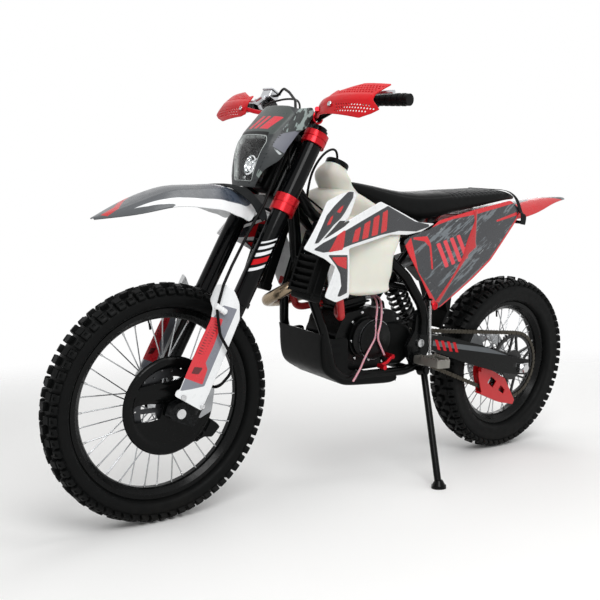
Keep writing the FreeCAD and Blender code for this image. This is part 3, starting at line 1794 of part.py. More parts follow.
def stand_direction():
    """From the pivot to the foot, which stands on the leaned ground."""
    foot_z = (stand_foot_y * sind(lean) - stand_foot_sink) / cosd(lean)
    return vec(stand_foot_x, stand_foot_y, foot_z)


def stand_axis():
    return vec(0, cosd(stand_axis_tilt), sind(stand_axis_tilt))


def stand_tab_point():
    return vec(stand_pivot_x - 25, stand_pivot_y + 3, stand_pivot_z + 4)


def side_stand():
    """Leg with its eye, spring tab and foot."""
    pivot = vec(stand_pivot_x, stand_pivot_y, stand_pivot_z)
    foot = stand_direction()
    ground = vec(0, -sind(lean), cosd(lean))
    along = (foot - pivot).normalize()
    axis = stand_axis()
    leg = rod(pivot + along * 10, foot - along * 14, stand_tube_radius)
    eye = Part.makeCylinder(stand_eye_radius, stand_eye_width, pivot - axis * stand_eye_width / 2, axis)
    pad = Part.makeCylinder(24, 10, foot, ground)
    cone = Part.makeCone(22, 13, 16, foot + ground * 10, ground)
    tab = rod(pivot - vec(10, 0, 0), stand_tab_point(), 4)
    body = fused([leg, eye, pad, cone, tab])
    hole = Part.makeCylinder(stand_pin_radius + shaft_gap, 60, pivot - axis * 30, axis)
    head_room = Part.makeCylinder(stand_head_radius + 1.5, 30, pivot + axis * stand_eye_width / 2, axis)
    return solid_of(body.cut(hole).cut(head_room))


def stand_lug():
    """The frame's pin for the stand, with the cheek inside it and the head outside."""
    pivot = vec(stand_pivot_x, stand_pivot_y, stand_pivot_z)
    axis = stand_axis()
    half = stand_eye_width / 2 + seat_gap
    pin = Part.makeCylinder(stand_pin_radius, 2 * half + 9, pivot - axis * (half + 4), axis)
    head = Part.makeCylinder(stand_head_radius, 5, pivot + axis * half, axis)
    cheek = Part.makeCylinder(16, 8, pivot - axis * (half + 8), axis)
    arm = Part.makeBox(36, 22, 34, vec(stand_pivot_x - 18, frame_plate_inner + 2, stand_pivot_z - 2))
    keep_out = Part.makeCylinder(40, 60, pivot - axis * half, axis)
    return fused([pin, head, cheek, arm.cut(keep_out)])


# Where the bike stands: lean about the wheels' line, then put the origin under the middle.


def upright_parts():
    axle_height = vec(0, 0, rear_tyre_radius)
    front_centre = vec(wheelbase, 0, front_tyre_radius)

    def at_front(shape):
        moved = shape.copy()
        moved.translate(front_centre)
        return moved

    def at_rear(shape):
        moved = shape.copy()
        moved.translate(axle_height)
        return moved

    front_wheel = spoked_wheel(
        front_seat_radius,
        front_rim_half_width,
        front_hub_radius,
        front_hub_flange,
        front_hub_half_width,
        front_bush_half,
        [(front_disc_y - disc_thickness / 2, brake_carrier_radius)],
    )
    rear_wheel = spoked_wheel(
        rear_seat_radius,
        rear_rim_half_width,
        rear_hub_radius,
        rear_hub_flange,
        rear_hub_half_width,
        rear_bush_half,
        [
            (chain_y - sprocket_thickness / 2, rear_hub_flange),
            (rear_disc_y + disc_thickness / 2, brake_carrier_radius),
        ],
    )
    front_tyre = lugged_tyre(
        front_tyre_radius, front_tyre_half_width, front_seat_radius, front_rim_half_width, front_lug_pairs
    )
    rear_tyre = lugged_tyre(
        rear_tyre_radius, rear_tyre_half_width, rear_seat_radius, rear_rim_half_width, rear_lug_pairs
    )
    frame_shape = frame()
    tank_shape = fuel_tank()
    return {
        "frame": frame_shape,
        "engine_case": engine_case(),
        "cylinder_head": cylinder_head(),
        "carburettor": carburettor(),
        "exhaust_header": exhaust_header(),
        "silencer": silencer(frame_shape),
        "radiators": radiators(),
        "radiator_guards": radiator_guards(),
        "coolant_hoses": coolant_hoses(),
        "fuel_tank": tank_shape,
        "fuel_cap": fuel_cap(frame_shape),
        "shroud_left": shroud(tank_shape),
        "shroud_right": mirrored(shroud(tank_shape)),
        "seat": seat(),
        "side_panel_left": side_panel(side_panel_outline, frame_shape),
        "side_panel_right": mirrored(side_panel(right_panel_outline, frame_shape)),
        "rear_fender": rear_fender(frame_shape),
        "airbox": airbox(frame_shape),
        "shock": shock(),
        "swingarm": swingarm(),
        "axle_bolts": axle_bolts(),
        "chain": chain(),
        "chain_guide": chain_guide(),
        "rear_caliper": rear_caliper(),
        "foot_pegs": foot_pegs(),
        "foot_levers": foot_levers(frame_shape),
        "skid_plate": skid_plate(),
        "grab_strap": grab_strap(),
        "throttle_cable": throttle_cable(),
        "drain_hose_front": drain_hose(front_drain_points),
        "drain_hose_rear": drain_hose(rear_drain_points),
        "stand_spring": stand_spring(),
        "side_stand": side_stand(),
        "triple_clamps": steered(triple_clamps()),
        "fork_tubes": steered(fork_tubes()),
        "fork_legs": steered(fork_legs()),
        "fork_guards": steered(fork_guards()),
        "front_axle": steered(front_axle()),
        "handlebar": steered(handlebar()),
        "grips": steered(grips()),
        "bar_controls": steered(bar_controls()),
        "hand_guards": steered(hand_guards()),
        "headlight_mask": steered(headlight_mask()),
        "headlight": steered(headlight()),
        "front_fender": steered(front_fender()),
        "brake_hose": steered(brake_hose()),
        "disc_guard": at_front(disc_guard()),
        "front_caliper": at_front(front_caliper()),
        "front_tyre": at_front(front_tyre),
        "front_wheel": at_front(front_wheel),
        "front_disc": at_front(brake_disc(front_disc_radius, front_disc_y, 38)),
        "rear_tyre": at_rear(rear_tyre),
        "rear_wheel": at_rear(rear_wheel),
        "rear_disc": at_rear(brake_disc(rear_disc_radius, rear_disc_y, 38)),
        "rear_sprocket": at_rear(rear_sprocket()),
    }


def place_on_ground(nodes):
    leaned = {}
    for name, shape in nodes.items():
        moved = shape.copy()
        moved.rotate(vec(0, 0, 0), vec(1, 0, 0), -lean)
        leaned[name] = moved
    bounds = FreeCAD.BoundBox()
    for shape in leaned.values():
        bounds.add(shape.optimalBoundingBox(True, False))
    shift = vec(-bounds.Center.x, -bounds.Center.y, -bounds.ZMin)
    for shape in leaned.values():
        shape.translate(shift)
    return leaned, shift


def main():
    os.makedirs("parts", exist_ok=True)
    nodes, _ = place_on_ground(upright_parts())
    for name, shape in nodes.items():
        shape.exportStep(os.path.join("parts", name + ".step"))


if __name__ == "__main__":
    main()
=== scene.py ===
import json
import math

import bmesh
import bpy
import numpy as np
from mathutils import Matrix, Vector, geometry


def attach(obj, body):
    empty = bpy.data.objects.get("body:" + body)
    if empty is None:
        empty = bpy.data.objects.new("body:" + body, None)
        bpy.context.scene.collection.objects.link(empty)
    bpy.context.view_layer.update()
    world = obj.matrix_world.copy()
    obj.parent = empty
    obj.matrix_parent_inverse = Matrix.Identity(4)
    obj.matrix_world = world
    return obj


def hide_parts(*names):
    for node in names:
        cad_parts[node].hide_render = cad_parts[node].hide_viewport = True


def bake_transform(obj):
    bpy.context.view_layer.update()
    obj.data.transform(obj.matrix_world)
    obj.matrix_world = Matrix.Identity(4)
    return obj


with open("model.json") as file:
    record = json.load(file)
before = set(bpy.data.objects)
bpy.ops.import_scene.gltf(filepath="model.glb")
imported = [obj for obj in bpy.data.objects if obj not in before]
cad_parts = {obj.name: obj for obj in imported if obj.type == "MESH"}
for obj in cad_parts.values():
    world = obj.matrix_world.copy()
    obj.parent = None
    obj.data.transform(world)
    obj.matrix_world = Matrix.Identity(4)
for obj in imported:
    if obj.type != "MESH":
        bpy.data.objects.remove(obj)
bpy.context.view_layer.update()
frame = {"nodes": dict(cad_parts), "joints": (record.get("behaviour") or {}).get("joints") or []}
nodes = frame["nodes"]
mm = 0.001
bothSides = ((1, "Left"), (-1, "Right"))  # the sign of y, and the word in a piece's name

# Where the bike stands. Its own coordinates are upright millimetres: x forward from the rear axle,
# y to the rider's left, z up from the ground. Fork coordinates (u, y, s) follow the steering.
stance = {"lean": 7.5, "rake": 26.5, "wheelbase": 1480, "frontRadius": 350, "rearRadius": 338, "axleOffset": 57}
frontAxle = (stance["wheelbase"], 0, stance["frontRadius"])
rearAxle = (0, 0, stance["rearRadius"])
leanTurn = Matrix.Rotation(-math.radians(stance["lean"]), 3, "X")
rakeTurn = Matrix.Rotation(-math.radians(stance["rake"]), 3, "Y")
rearJoint = next(j for j in frame["joints"] if j["name"] == "rear_wheel_spin")
shift = Vector(rearJoint["pos_m"]) - leanTurn @ Vector(rearAxle) * mm
forkFoot = Vector(frontAxle) - rakeTurn @ Vector((stance["axleOffset"], 0, 0))


def place(points):  # upright millimetres to metres in the frame: lean about the ground line, then shift
    return np.asarray(points, float) * mm @ np.array(leanTurn).T + np.array(shift)


def forked(points):  # fork coordinates to upright: turn by the rake, then move to the fork's foot
    return np.asarray(points, float) @ np.array(rakeTurn).T + np.array(forkFoot)


def placeFork(points):  # fork coordinates to metres in the frame
    return place(forked(points))


def wayOut(*direction, fork=False):  # a direction in upright or fork coordinates, as one in the frame
    return leanTurn @ (rakeTurn @ Vector(direction) if fork else Vector(direction))


# Camera, from the photograph's own viewpoint
camera = {"azimuth": 143.113, "elevation": 2.658, "roll": -1.245, "distance": 2.89157,
          "target": (0.85422, -0.10701, 0.61071), "lens": 50.177}
az, el, roll = (math.radians(camera[k]) for k in ("azimuth", "elevation", "roll"))
back = Vector((math.sin(az) * math.cos(el), -math.cos(az) * math.cos(el), math.sin(el)))
right = (-back).cross(Vector((0, 0, 1))).normalized()
upward = right.cross(-back)
right, upward = (right * math.cos(roll) + upward * math.sin(roll), upward * math.cos(roll) - right * math.sin(roll))
cameraData = bpy.data.cameras.new("camera")
cameraData.lens = camera["lens"]
cameraData.sensor_width = 36
eye = bpy.data.objects.new("camera", cameraData)
eye.matrix_world = Matrix.Translation(Vector(camera["target"]) + shift + back * camera["distance"]) @ Matrix(
    (right, upward, back)).transposed().to_4x4()
bpy.context.scene.collection.objects.link(eye)
bpy.context.scene.camera = eye
print("camera is in place")


# Materials


def linear(hexColour):  # an sRGB hex value as the linear colour that the shaders take
    parts = [int(hexColour[i:i + 2], 16) / 255 for i in (1, 3, 5)]
    return tuple(c / 12.92 if c <= 0.04045 else ((c + 0.055) / 1.055) ** 2.4 for c in parts) + (1.0,)


def node(tree, kind, links=(), **settings):
    # One shader node with its settings and inputs. An input takes a value, a socket, or another node,
    # whose first live output is meant.
    made = tree.nodes.new("ShaderNode" + kind)
    for name, value in settings.items():
        setattr(made, name, value)
    for socket, value in dict(links).items():
        if isinstance(value, bpy.types.Node):
            value = next(output for output in value.outputs if output.enabled)
        if isinstance(value, bpy.types.NodeSocket):
            tree.links.new(value, made.inputs[socket])
        else:
            made.inputs[socket].default_value = value
    return made


def newMaterial(name):
    material = bpy.data.materials.new(name)
    material.use_nodes = True
    material.node_tree.nodes.clear()
    return material, material.node_tree


def bikeCoordinates(tree):  # object coordinates turned back upright, in metres from the rear tyre's foot
    texture = node(tree, "TexCoord").outputs["Object"]
    return node(tree, "Mapping", {"Vector": texture, "Location": tuple(shift),
                                  "Rotation": (-math.radians(stance["lean"]), 0, 0)}, vector_type="TEXTURE")


def forkCoordinates(tree):  # the same for the steering: (u, y, s) in metres from the fork's foot
    texture = node(tree, "TexCoord").outputs["Object"]
    turn = (leanTurn @ rakeTurn).to_euler("XYZ")
    return node(tree, "Mapping", {"Vector": texture, "Location": tuple(place(np.array(forkFoot))),
                                  "Rotation": tuple(turn)}, vector_type="TEXTURE")


def paintedOver(tree, ground, coats):  # coats are (mask, colour), each painted over the last where its mask is one
    for mask, paint in coats:
        ground = node(tree, "Mix", {0: mask, 6: ground, 7: paint}, data_type="RGBA")
    return ground


def allOf(tree, mask, *others):  # one only where every mask is one
    for other in others:
        mask = node(tree, "Math", {0: mask, 1: other}, operation="MULTIPLY")
    return mask


def within(tree, value, low, high, soft=0.4):  # one where the value in metres lies between two in millimetres
    return allOf(tree, node(tree, "MapRange", {0: value, 1: (low - soft) * mm, 2: (low + soft) * mm}),
                 node(tree, "MapRange", {0: value, 1: (high - soft) * mm, 2: (high + soft) * mm, 3: 1.0, 4: 0.0}))


def finish(name, colour, roughness, metallic=0.0, grain=1.5, depth=0.15, mottle=0.12, cloud=45.0, wear=None,
           coat=0.0, specular=0.5, layers=(), ground=None, transmission=0.0, ior=1.5, subsurface=0.0,
           sheen=0.0, roughSpread=0.08, dust=None, edge=0.5):
    # A principled surface. The colour drifts by the mottle over clouds of the given size in mm, a grain
    # of its own size stands up by depth in mm, roughness wanders, and wear lightens outer edges. Ground is
    # a function that paints the colour, and layers are (attribute, paint) pairs painted over it where the
    # attribute, a distance in mm, is positive.
    material, tree = newMaterial(name)
    texture = node(tree, "TexCoord").outputs["Object"]
    sizes = {"cloud": (cloud, 4), "gloss": (18, 5), "grain": (grain, 2)}  # (size in mm, detail)
    if wear:
        sizes["rubbed"] = (6, 3)
    if dust:
        sizes["dusty"] = (25, 6)
    field = {key: node(tree, "TexNoise", {"Vector": texture, "Scale": 1 / (size * mm), "Detail": detail})
             for key, (size, detail) in sizes.items()}
    coats = []
    for attribute, paint in layers:
        read = node(tree, "Attribute", attribute_name=attribute, attribute_type="GEOMETRY").outputs["Fac"]
        coats.append((node(tree, "MapRange", {0: read, 1: -edge, 2: edge}),
                      paint(tree) if callable(paint) else linear(paint)))
    shade = paintedOver(tree, ground(tree) if ground else linear(colour), coats)
    drift = node(tree, "MapRange", {0: field["cloud"], 1: 0.25, 2: 0.75, 3: 1 - mottle, 4: 1 + mottle})
    shade = node(tree, "HueSaturation", {"Value": drift, "Color": shade})
    if wear:
        sharp = node(tree, "MapRange", {0: node(tree, "NewGeometry").outputs["Pointiness"], 1: 0.51, 2: 0.58})
        rubbed = node(tree, "MapRange", {0: field["rubbed"], 1: 0.4, 2: 0.65})
        shade = paintedOver(tree, shade, [(allOf(tree, sharp, rubbed), linear(wear))])
    if dust:  # road dust that settles low down, as (colour, height in mm, most of it)
        height = node(tree, "SeparateXYZ", {0: bikeCoordinates(tree)}).outputs[2]
        low = node(tree, "MapRange", {0: height, 1: dust[1] * mm, 2: 0.0, 3: 0.0, 4: dust[2]})
        patch = node(tree, "MapRange", {0: field["dusty"], 1: 0.35, 2: 0.7})
        shade = paintedOver(tree, shade, [(allOf(tree, low, patch), linear(dust[0]))])
    gloss = node(tree, "MapRange", {0: field["gloss"], 1: 0.3, 2: 0.7, 3: max(roughness - roughSpread, 0.02),
                                    4: min(roughness + roughSpread, 1.0)})
    bump = node(tree, "Bump", {"Height": field["grain"], "Distance": depth * mm, "Strength": 0.6})
    shader = node(tree, "BsdfPrincipled", {
        "Base Color": shade, "Roughness": gloss, "Normal": bump, "Metallic": metallic, "IOR": ior,
        "Coat Weight": coat, "Coat Roughness": 0.08, "Transmission Weight": transmission, "Sheen Weight": sheen,
        "Subsurface Weight": subsurface, "Subsurface Scale": 0.02, "Specular IOR Level": specular})
    node(tree, "OutputMaterial", {"Surface": shader})
    return material


def wheelMetal(name, axle, bands, roughness=0.24):
    # Rings of finish round an axle: bands are (from this radius in mm, colour, metallic), from the hub out
    material, tree = newMaterial(name)
    texture = node(tree, "TexCoord").outputs["Object"]
    away = node(tree, "VectorMath", {0: texture, 1: tuple(place(axle))}, operation="SUBTRACT")
    cross = node(tree, "VectorMath", {0: away, 1: tuple(wayOut(0, 1, 0))}, operation="CROSS_PRODUCT")
    radius = node(tree, "VectorMath", {0: cross}, operation="LENGTH")
    colour, metal = linear(bands[0][1]), bands[0][2]
    for limit, paint, metallic in bands[1:]:
        beyond = node(tree, "MapRange", {0: radius, 1: limit * mm, 2: (limit + 0.6) * mm})
        colour = paintedOver(tree, colour, [(beyond, linear(paint))])
        metal = node(tree, "MapRange", {0: beyond, 3: metal, 4: metallic})
    clouds, smears, grain = (node(tree, "TexNoise", {"Vector": texture, "Scale": 1 / (size * mm), "Detail": detail})
                             for size, detail in ((30, 4), (12, 5), (1.2, 3)))
    drift = node(tree, "MapRange", {0: clouds, 1: 0.3, 2: 0.7, 3: 0.85, 4: 1.12})
    gloss = node(tree, "MapRange", {0: smears, 1: 0.3, 2: 0.7, 3: roughness - 0.08, 4: roughness + 0.08})
    shader = node(tree, "BsdfPrincipled", {
        "Base Color": node(tree, "HueSaturation", {"Value": drift, "Color": colour}), "Roughness": gloss,
        "Normal": node(tree, "Bump", {"Height": grain, "Distance": 0.05 * mm, "Strength": 0.5}),
        "Metallic": metal, "Specular IOR Level": 0.14})
    node(tree, "OutputMaterial", {"Surface": shader})
    return material


def streaked(look, coordinates=bikeCoordinates):
    # A print of slanted streaks: noise drawn out along its run and cut into tones, where each tone is
    # (grain in mm, detail, roughness, noise value where it starts, value where it is whole, colour)
    def paint(tree):
        turned = node(tree, "VectorRotate", {"Vector": coordinates(tree), "Angle": math.radians(look["lean"])},
                      rotation_type="Y_AXIS")
        drawn = node(tree, "VectorMath", {0: turned, 1: look["stretch"]}, operation="MULTIPLY")
        coats = []
        for grain, detail, rough, start, whole, tone in look["tones"]:
            field = node(tree, "TexNoise", {"Vector": drawn, "Scale": 1 / (grain * mm), "Detail": detail,
                                            "Roughness": rough})
            coats.append((node(tree, "MapRange", {0: field, 1: start, 2: whole}), linear(tone)))
        return paintedOver(tree, linear(look["ground"]), coats)
    return paint


def scratched(dark, light):  # film with small slanted scratches of a lighter tone
    return streaked({"lean": -25, "stretch": (0.25, 0.3, 1.0), "ground": dark,
                     "tones": [(8, 6, 0.7, 0.66, 0.69, light)]})


# Grey camouflage film of the side panels and the tail
camouflage = streaked({"lean": -33, "stretch": (0.13, 0.2, 1.0), "ground": "#2b2d31", "tones": [
    (26, 5, 0.62, 0.53, 0.545, "#676e73"), (26, 5, 0.62, 0.61, 0.625, "#2b2d31"), (9, 6, 0.7, 0.63, 0.645, "#8f9597")]})
# Near-black film of the mask's wings, with upright pale streaks
wingPrint = streaked({"lean": 0, "stretch": (0.9, 0.9, 0.22), "ground": "#232827",
                      "tones": [(11, 3, 0.5, 0.52, 0.56, "#83908d")]}, forkCoordinates)

# Prints that follow the bike's or the fork's own millimetres
clampLook = {"forging": "#0b0c0d", "rings": "#c20d1c", "ringsFrom": (65.5, 66.5)}
forkLook = {
    "tube": "#070809", "outer": (100, 101), "face": (14, 48), "slant": 0.9,
    "bars": [(572, 578, "#e8eaec"), (552, 562, "#e8eaec"), (530, 542, "#e8eaec"), (504, 522, "#c3141b"),
             (484, 494, "#e8eaec")],
}
swingarmLook = {
    # The grey streak is where z - 0.17 x lies within its range, and the red bars where x - 0.5 z does
    "arm": "#060707", "outer": (78, 79), "rise": 0.17, "streak": (378, 396), "streakRun": (60, 500),
    "streakGrey": "#5b5f62", "barLean": 0.5, "barHeight": (366, 400), "barRed": "#c41a24",
    "bars": [(236, 250), (208, 222), (180, 194), (152, 166)],
}


def pastEdge(tree, value, edge):  # one past an edge given as (where it starts, where it is whole) in mm
    return node(tree, "MapRange", {0: value, 1: edge[0] * mm, 2: edge[1] * mm})


def clampPaint(tree):  # red rings round the fork tubes, black bridge and risers
    across = node(tree, "SeparateXYZ", {0: forkCoordinates(tree)}).outputs[1]
    out = node(tree, "Math", {0: across}, operation="ABSOLUTE")
    return paintedOver(tree, linear(clampLook["forging"]), [(pastEdge(tree, out, clampLook["ringsFrom"]),
                                                             linear(clampLook["rings"]))])


def forkPaint(tree):  # black tube with slanted white bars and a red one on the left tube's outer side
    look = forkLook
    u, y, s = node(tree, "SeparateXYZ", {0: forkCoordinates(tree)}).outputs
    slanted = node(tree, "Math", {0: u, 1: look["slant"], 2: s}, operation="MULTIPLY_ADD")
    side = allOf(tree, pastEdge(tree, y, look["outer"]), within(tree, u, *look["face"]))
    return paintedOver(tree, linear(look["tube"]), [
        (allOf(tree, side, within(tree, slanted, low, high)), linear(paint)) for low, high, paint in look["bars"]])


def swingarmPaint(tree):  # black arm with a grey streak and red bars printed along the upper front
    look = swingarmLook
    x, y, z = node(tree, "SeparateXYZ", {0: bikeCoordinates(tree)}).outputs
    height = node(tree, "Math", {0: x, 1: -look["rise"], 2: z}, operation="MULTIPLY_ADD")
    leaning = node(tree, "Math", {0: z, 1: -look["barLean"], 2: x}, operation="MULTIPLY_ADD")
    outer = pastEdge(tree, node(tree, "Math", {0: y}, operation="ABSOLUTE"), look["outer"])
    streak = allOf(tree, within(tree, height, *look["streak"]), within(tree, x, *look["streakRun"]), outer)
    return paintedOver(tree, linear(look["arm"]), [(streak, linear(look["streakGrey"]))] + [
        (allOf(tree, within(tree, leaning, low, high), within(tree, height, *look["barHeight"]), outer),
         linear(look["barRed"])) for low, high in look["bars"]])


red, white = "#c3141b", "#e9ebec"
palette = {
    # Gloss stove enamel on steel tube: deep black, orange peel too fine to see
    "blackEnamel": finish("black stove enamel", "#050606", 0.2, grain=3.0, depth=0.02, coat=0.02, specular=0.1,
                          wear="#121314"),
    # Injection-moulded polypropylene, spark-eroded grain: an even dull black
    "mouldedBlack": finish("grained black polypropylene", "#070808", 0.4, grain=1.2, depth=0.12, specular=0.07,
                           mottle=0.1),
    # The same plastics from a polished mould: smooth, with long soft highlights
    "glossBlack": finish("gloss black polypropylene", "#060707", 0.2, grain=4.0, depth=0.03, specular=0.12,
                         mottle=0.06),
    "glossWhite": finish("white moulded polypropylene", white, 0.3, grain=4.0, depth=0.03, mottle=0.03, coat=0.1),
    "mouldedRed": finish("red moulded polypropylene", red, 0.36, grain=2.0, depth=0.05, mottle=0.06),
    "greyPlastic": finish("graphite moulded plastic", "#3b3e42", 0.34, grain=3.0, depth=0.03, coat=0.1),
    # Blow-moulded natural polyethylene: milky, light comes through the wall
    "naturalPolyethylene": finish("natural polyethylene", "#e2e1d6", 0.4, grain=3.0, depth=0.08, mottle=0.04,
                                  cloud=80.0, subsurface=0.35),
    # Anodised aluminium: dyed oxide over turned metal
    "redAnodised": finish("red anodised aluminium", "#c00d1e", 0.3, metallic=0.75, grain=0.8, depth=0.03,
                          mottle=0.08),
    # Sand casting leaves a dull, uneven grey skin; cutting leaves a bright one. The grits, some 0.2 mm
    # wide, are drawn four to eight times as coarse, so that they show
    "castAluminium": finish("sand-cast aluminium", "#9fa1a3", 0.48, metallic=0.9, mottle=0.15),
    "machinedAluminium": finish("machined aluminium", "#c3c5c8", 0.3, metallic=1.0, grain=0.9, depth=0.03),
    # Engine castings painted in heat-proof black, worn to metal on edges
    "engineBlack": finish("black engine paint", "#070808", 0.32, metallic=0.04, grain=1.4, depth=0.12,
                          wear="#1c1d1e", mottle=0.2, specular=0.11),
    # Steels: zinc plate is bright, a used disc is brown-grey, ground stainless is pale, black oxide is dark
    "brightSteel": finish("zinc-plated steel", "#c9cacb", 0.26, metallic=1.0, grain=1.0, depth=0.02),
    "guardedDisc": finish("oxidised brake disc steel", "#37383a", 0.34, metallic=0.8, grain=0.8, depth=0.02),
    "ringSteel": finish("ground stainless steel", "#a9abad", 0.3, metallic=1.0, grain=0.8, depth=0.02),
    "darkSteel": finish("black oxide steel", "#0b0c0d", 0.3, metallic=0.3, grain=1.0, depth=0.04),
    "pegSteel": finish("bead-blasted steel", "#83817b", 0.45, metallic=0.8, grain=1.0, depth=0.1),
    # Oil on rolled steel plates: brown film, patchy from link to link
    "chainSteel": finish("oiled chain steel", "#3d382f", 0.4, metallic=0.7, grain=1.0, depth=0.05, mottle=0.25,
                         cloud=12.0),
    # Stainless header after heat: straw to bronze
    "heatedSteel": finish("heat-tinted stainless steel", "#8f7f6a", 0.28, metallic=1.0, grain=1.0, depth=0.03,
                          mottle=0.25, cloud=60.0),
    # Moulded tyre rubber: matt, with pale dust from the road low down
    "tyreRubber": finish("carbon-black tyre rubber", "#080909", 0.52, grain=1.2, depth=0.2, specular=0.1,
                         mottle=0.16, cloud=30.0, dust=("#2e2b27", 90, 0.3)),
    "softRubber": finish("black rubber", "#060606", 0.42, grain=1.0, depth=0.08, specular=0.11),
    "siliconeRed": finish("red silicone hose", "#b3161a", 0.45, depth=0.06, mottle=0.08),
    # Woven strap: threads of half a millimetre, drawn three times as wide
    "webbing": finish("woven polypropylene webbing", "#131516", 0.65, grain=1.6, depth=0.3, specular=0.12,
                      sheen=0.03),
    # Flexible PVC fuel hose: pink, clear enough to glow at its edges
    "pinkHose": finish("clear pink pvc hose", "#c9909c", 0.25, grain=3.0, depth=0.02, mottle=0.06,
                       subsurface=0.3),
    # Painted radiator cores: soot black
    "radiatorBlack": finish("black painted radiator core", "#070808", 0.5, grain=2.0, depth=0.2, specular=0.08),
    # Cast or turned parts in one piece with another finish or a print on them
    "swingarmPaint": finish("gloss black swingarm with printed film", "#060707", 0.22, grain=3.0, depth=0.02,
                            specular=0.14, mottle=0.06, ground=swingarmPaint),
    "clampPaint": finish("red anodised clamp rings on black forging", "#c20d1c", 0.28, metallic=0.55, grain=0.8,
                         depth=0.02, mottle=0.06, ground=clampPaint),
    "forkPaint": finish("gloss black fork tube with printed bars", "#050606", 0.12, grain=4.0, depth=0.01,
                        mottle=0.05, specular=0.13, ground=forkPaint),
    # Wheels: black hub, bright steel spokes, black anodised rim
    "frontWheelMetal": wheelMetal("front wheel, anodised rim and steel spokes", frontAxle,
                                  [(0, "#101113", 0.3), (36, "#b4b6b8", 1.0), (248, "#050606", 0.0)]),
    "rearWheelMetal": wheelMetal("rear wheel, anodised rim and steel spokes", rearAxle,
                                 [(0, "#101113", 0.3), (50, "#b4b6b8", 1.0), (210, "#050606", 0.0)]),
}
print("materials are made")

# The finish of each CAD node
nodeFinishes = {
    "blackEnamel": "frame side_stand handlebar",
    "engineBlack": "engine_case cylinder_head fork_legs",
    "castAluminium": "carburettor rear_caliper front_caliper",
    "heatedSteel": "exhaust_header",
    "machinedAluminium": "silencer bar_controls headlight",
    "radiatorBlack": "radiators",
    "mouldedBlack": "radiator_guards fuel_cap airbox skid_plate disc_guard",
    "siliconeRed": "coolant_hoses",
    "naturalPolyethylene": "fuel_tank",
    "glossWhite": "shroud_left shroud_right fork_guards front_fender",
    "softRubber": "seat throttle_cable grips brake_hose",
    "greyPlastic": "side_panel_left side_panel_right headlight_mask",
    "mouldedRed": "rear_fender chain_guide hand_guards",
    "darkSteel": "shock rear_sprocket",
    "swingarmPaint": "swingarm",
    "brightSteel": "axle_bolts stand_spring front_axle",
    "chainSteel": "chain",
    "pegSteel": "foot_pegs",
    "redAnodised": "foot_levers",
    "webbing": "grab_strap",
    "pinkHose": "drain_hose_front drain_hose_rear",
    "clampPaint": "triple_clamps",
    "forkPaint": "fork_tubes",
    "tyreRubber": "front_tyre rear_tyre",
    "frontWheelMetal": "front_wheel",
    "rearWheelMetal": "rear_wheel",
    "guardedDisc": "front_disc",
    "ringSteel": "rear_disc",
}
for finishName, nodeNames in nodeFinishes.items():
    for nodeName in nodeNames.split():
        nodes[nodeName].data.materials.clear()
        nodes[nodeName].data.materials.append(palette[finishName])
print("finishes are on")


# Shapes. Each is a function of two parameters worked out on a grid, or a profile carried along a path.


def newPiece(name, points, faces, material, body, slot=None, replaces=(), attributes=None, sharp=40, ride=True):
    # A mesh in the frame's metres that rides on a body. Edges sharper than sharp degrees stay sharp.
    mesh = bpy.data.meshes.new(name)
    mesh.from_pydata(np.asarray(points, float).reshape(-1, 3).tolist(), [], [list(map(int, f)) for f in faces])
    for attribute, values in (attributes or {}).items():
        field = mesh.attributes.new(attribute, "FLOAT", "POINT")
        field.data.foreach_set("value", np.asarray(values, np.float32).ravel())
    mesh.shade_smooth()
    mesh.set_sharp_from_angle(angle=math.radians(sharp))
    obj = bpy.data.objects.new(name, mesh)
    bpy.context.scene.collection.objects.link(obj)
    mesh.materials.append(palette[material])
    if ride:
        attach(obj, body)
    if replaces:
        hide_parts(*replaces)
    return obj


def gridFaces(rows, columns, closeRows=False, closeColumns=False):  # quads between neighbouring rows and columns
    i = np.arange(rows if closeRows else rows - 1)
    j = np.arange(columns if closeColumns else columns - 1)
    a, b = np.meshgrid(i, j, indexing="ij")
    after, beside = (a + 1) % rows, (b + 1) % columns
    return np.stack([a * columns + b, after * columns + b, after * columns + beside, a * columns + beside],
                    -1).reshape(-1, 4)


def cappedFaces(rows, columns):  # rings joined into a closed skin, with one face over each end
    return [*gridFaces(rows, columns, closeColumns=True).tolist(), list(range(columns))[::-1],
            [(rows - 1) * columns + k for k in range(columns)]]


def closedBodies(points, faceList, count):  # the same faces for each of count copies whose points follow one another
    base = len(points) // count
    return [[i + k * base for i in f] for k in range(count) for f in faceList]


def outwardNormals(obj):  # merges doubles and turns every face outwards
    work = bmesh.new()
    work.from_mesh(obj.data)
    bmesh.ops.remove_doubles(work, verts=work.verts, dist=1e-6)
    bmesh.ops.recalc_face_normals(work, faces=work.faces)
    work.to_mesh(obj.data)
    work.free()
    return obj


def walled(obj, thickness, bevel=0.8, offset=-1):  # gives a sheet its wall and small round edges, in millimetres
    wall = obj.modifiers.new("wall", "SOLIDIFY")
    wall.thickness, wall.offset = thickness * mm, offset
    if bevel:
        edge = obj.modifiers.new("edge", "BEVEL")
        edge.width, edge.segments = bevel * mm, 2
        edge.limit_method, edge.angle_limit = "ANGLE", math.radians(50)
    return obj


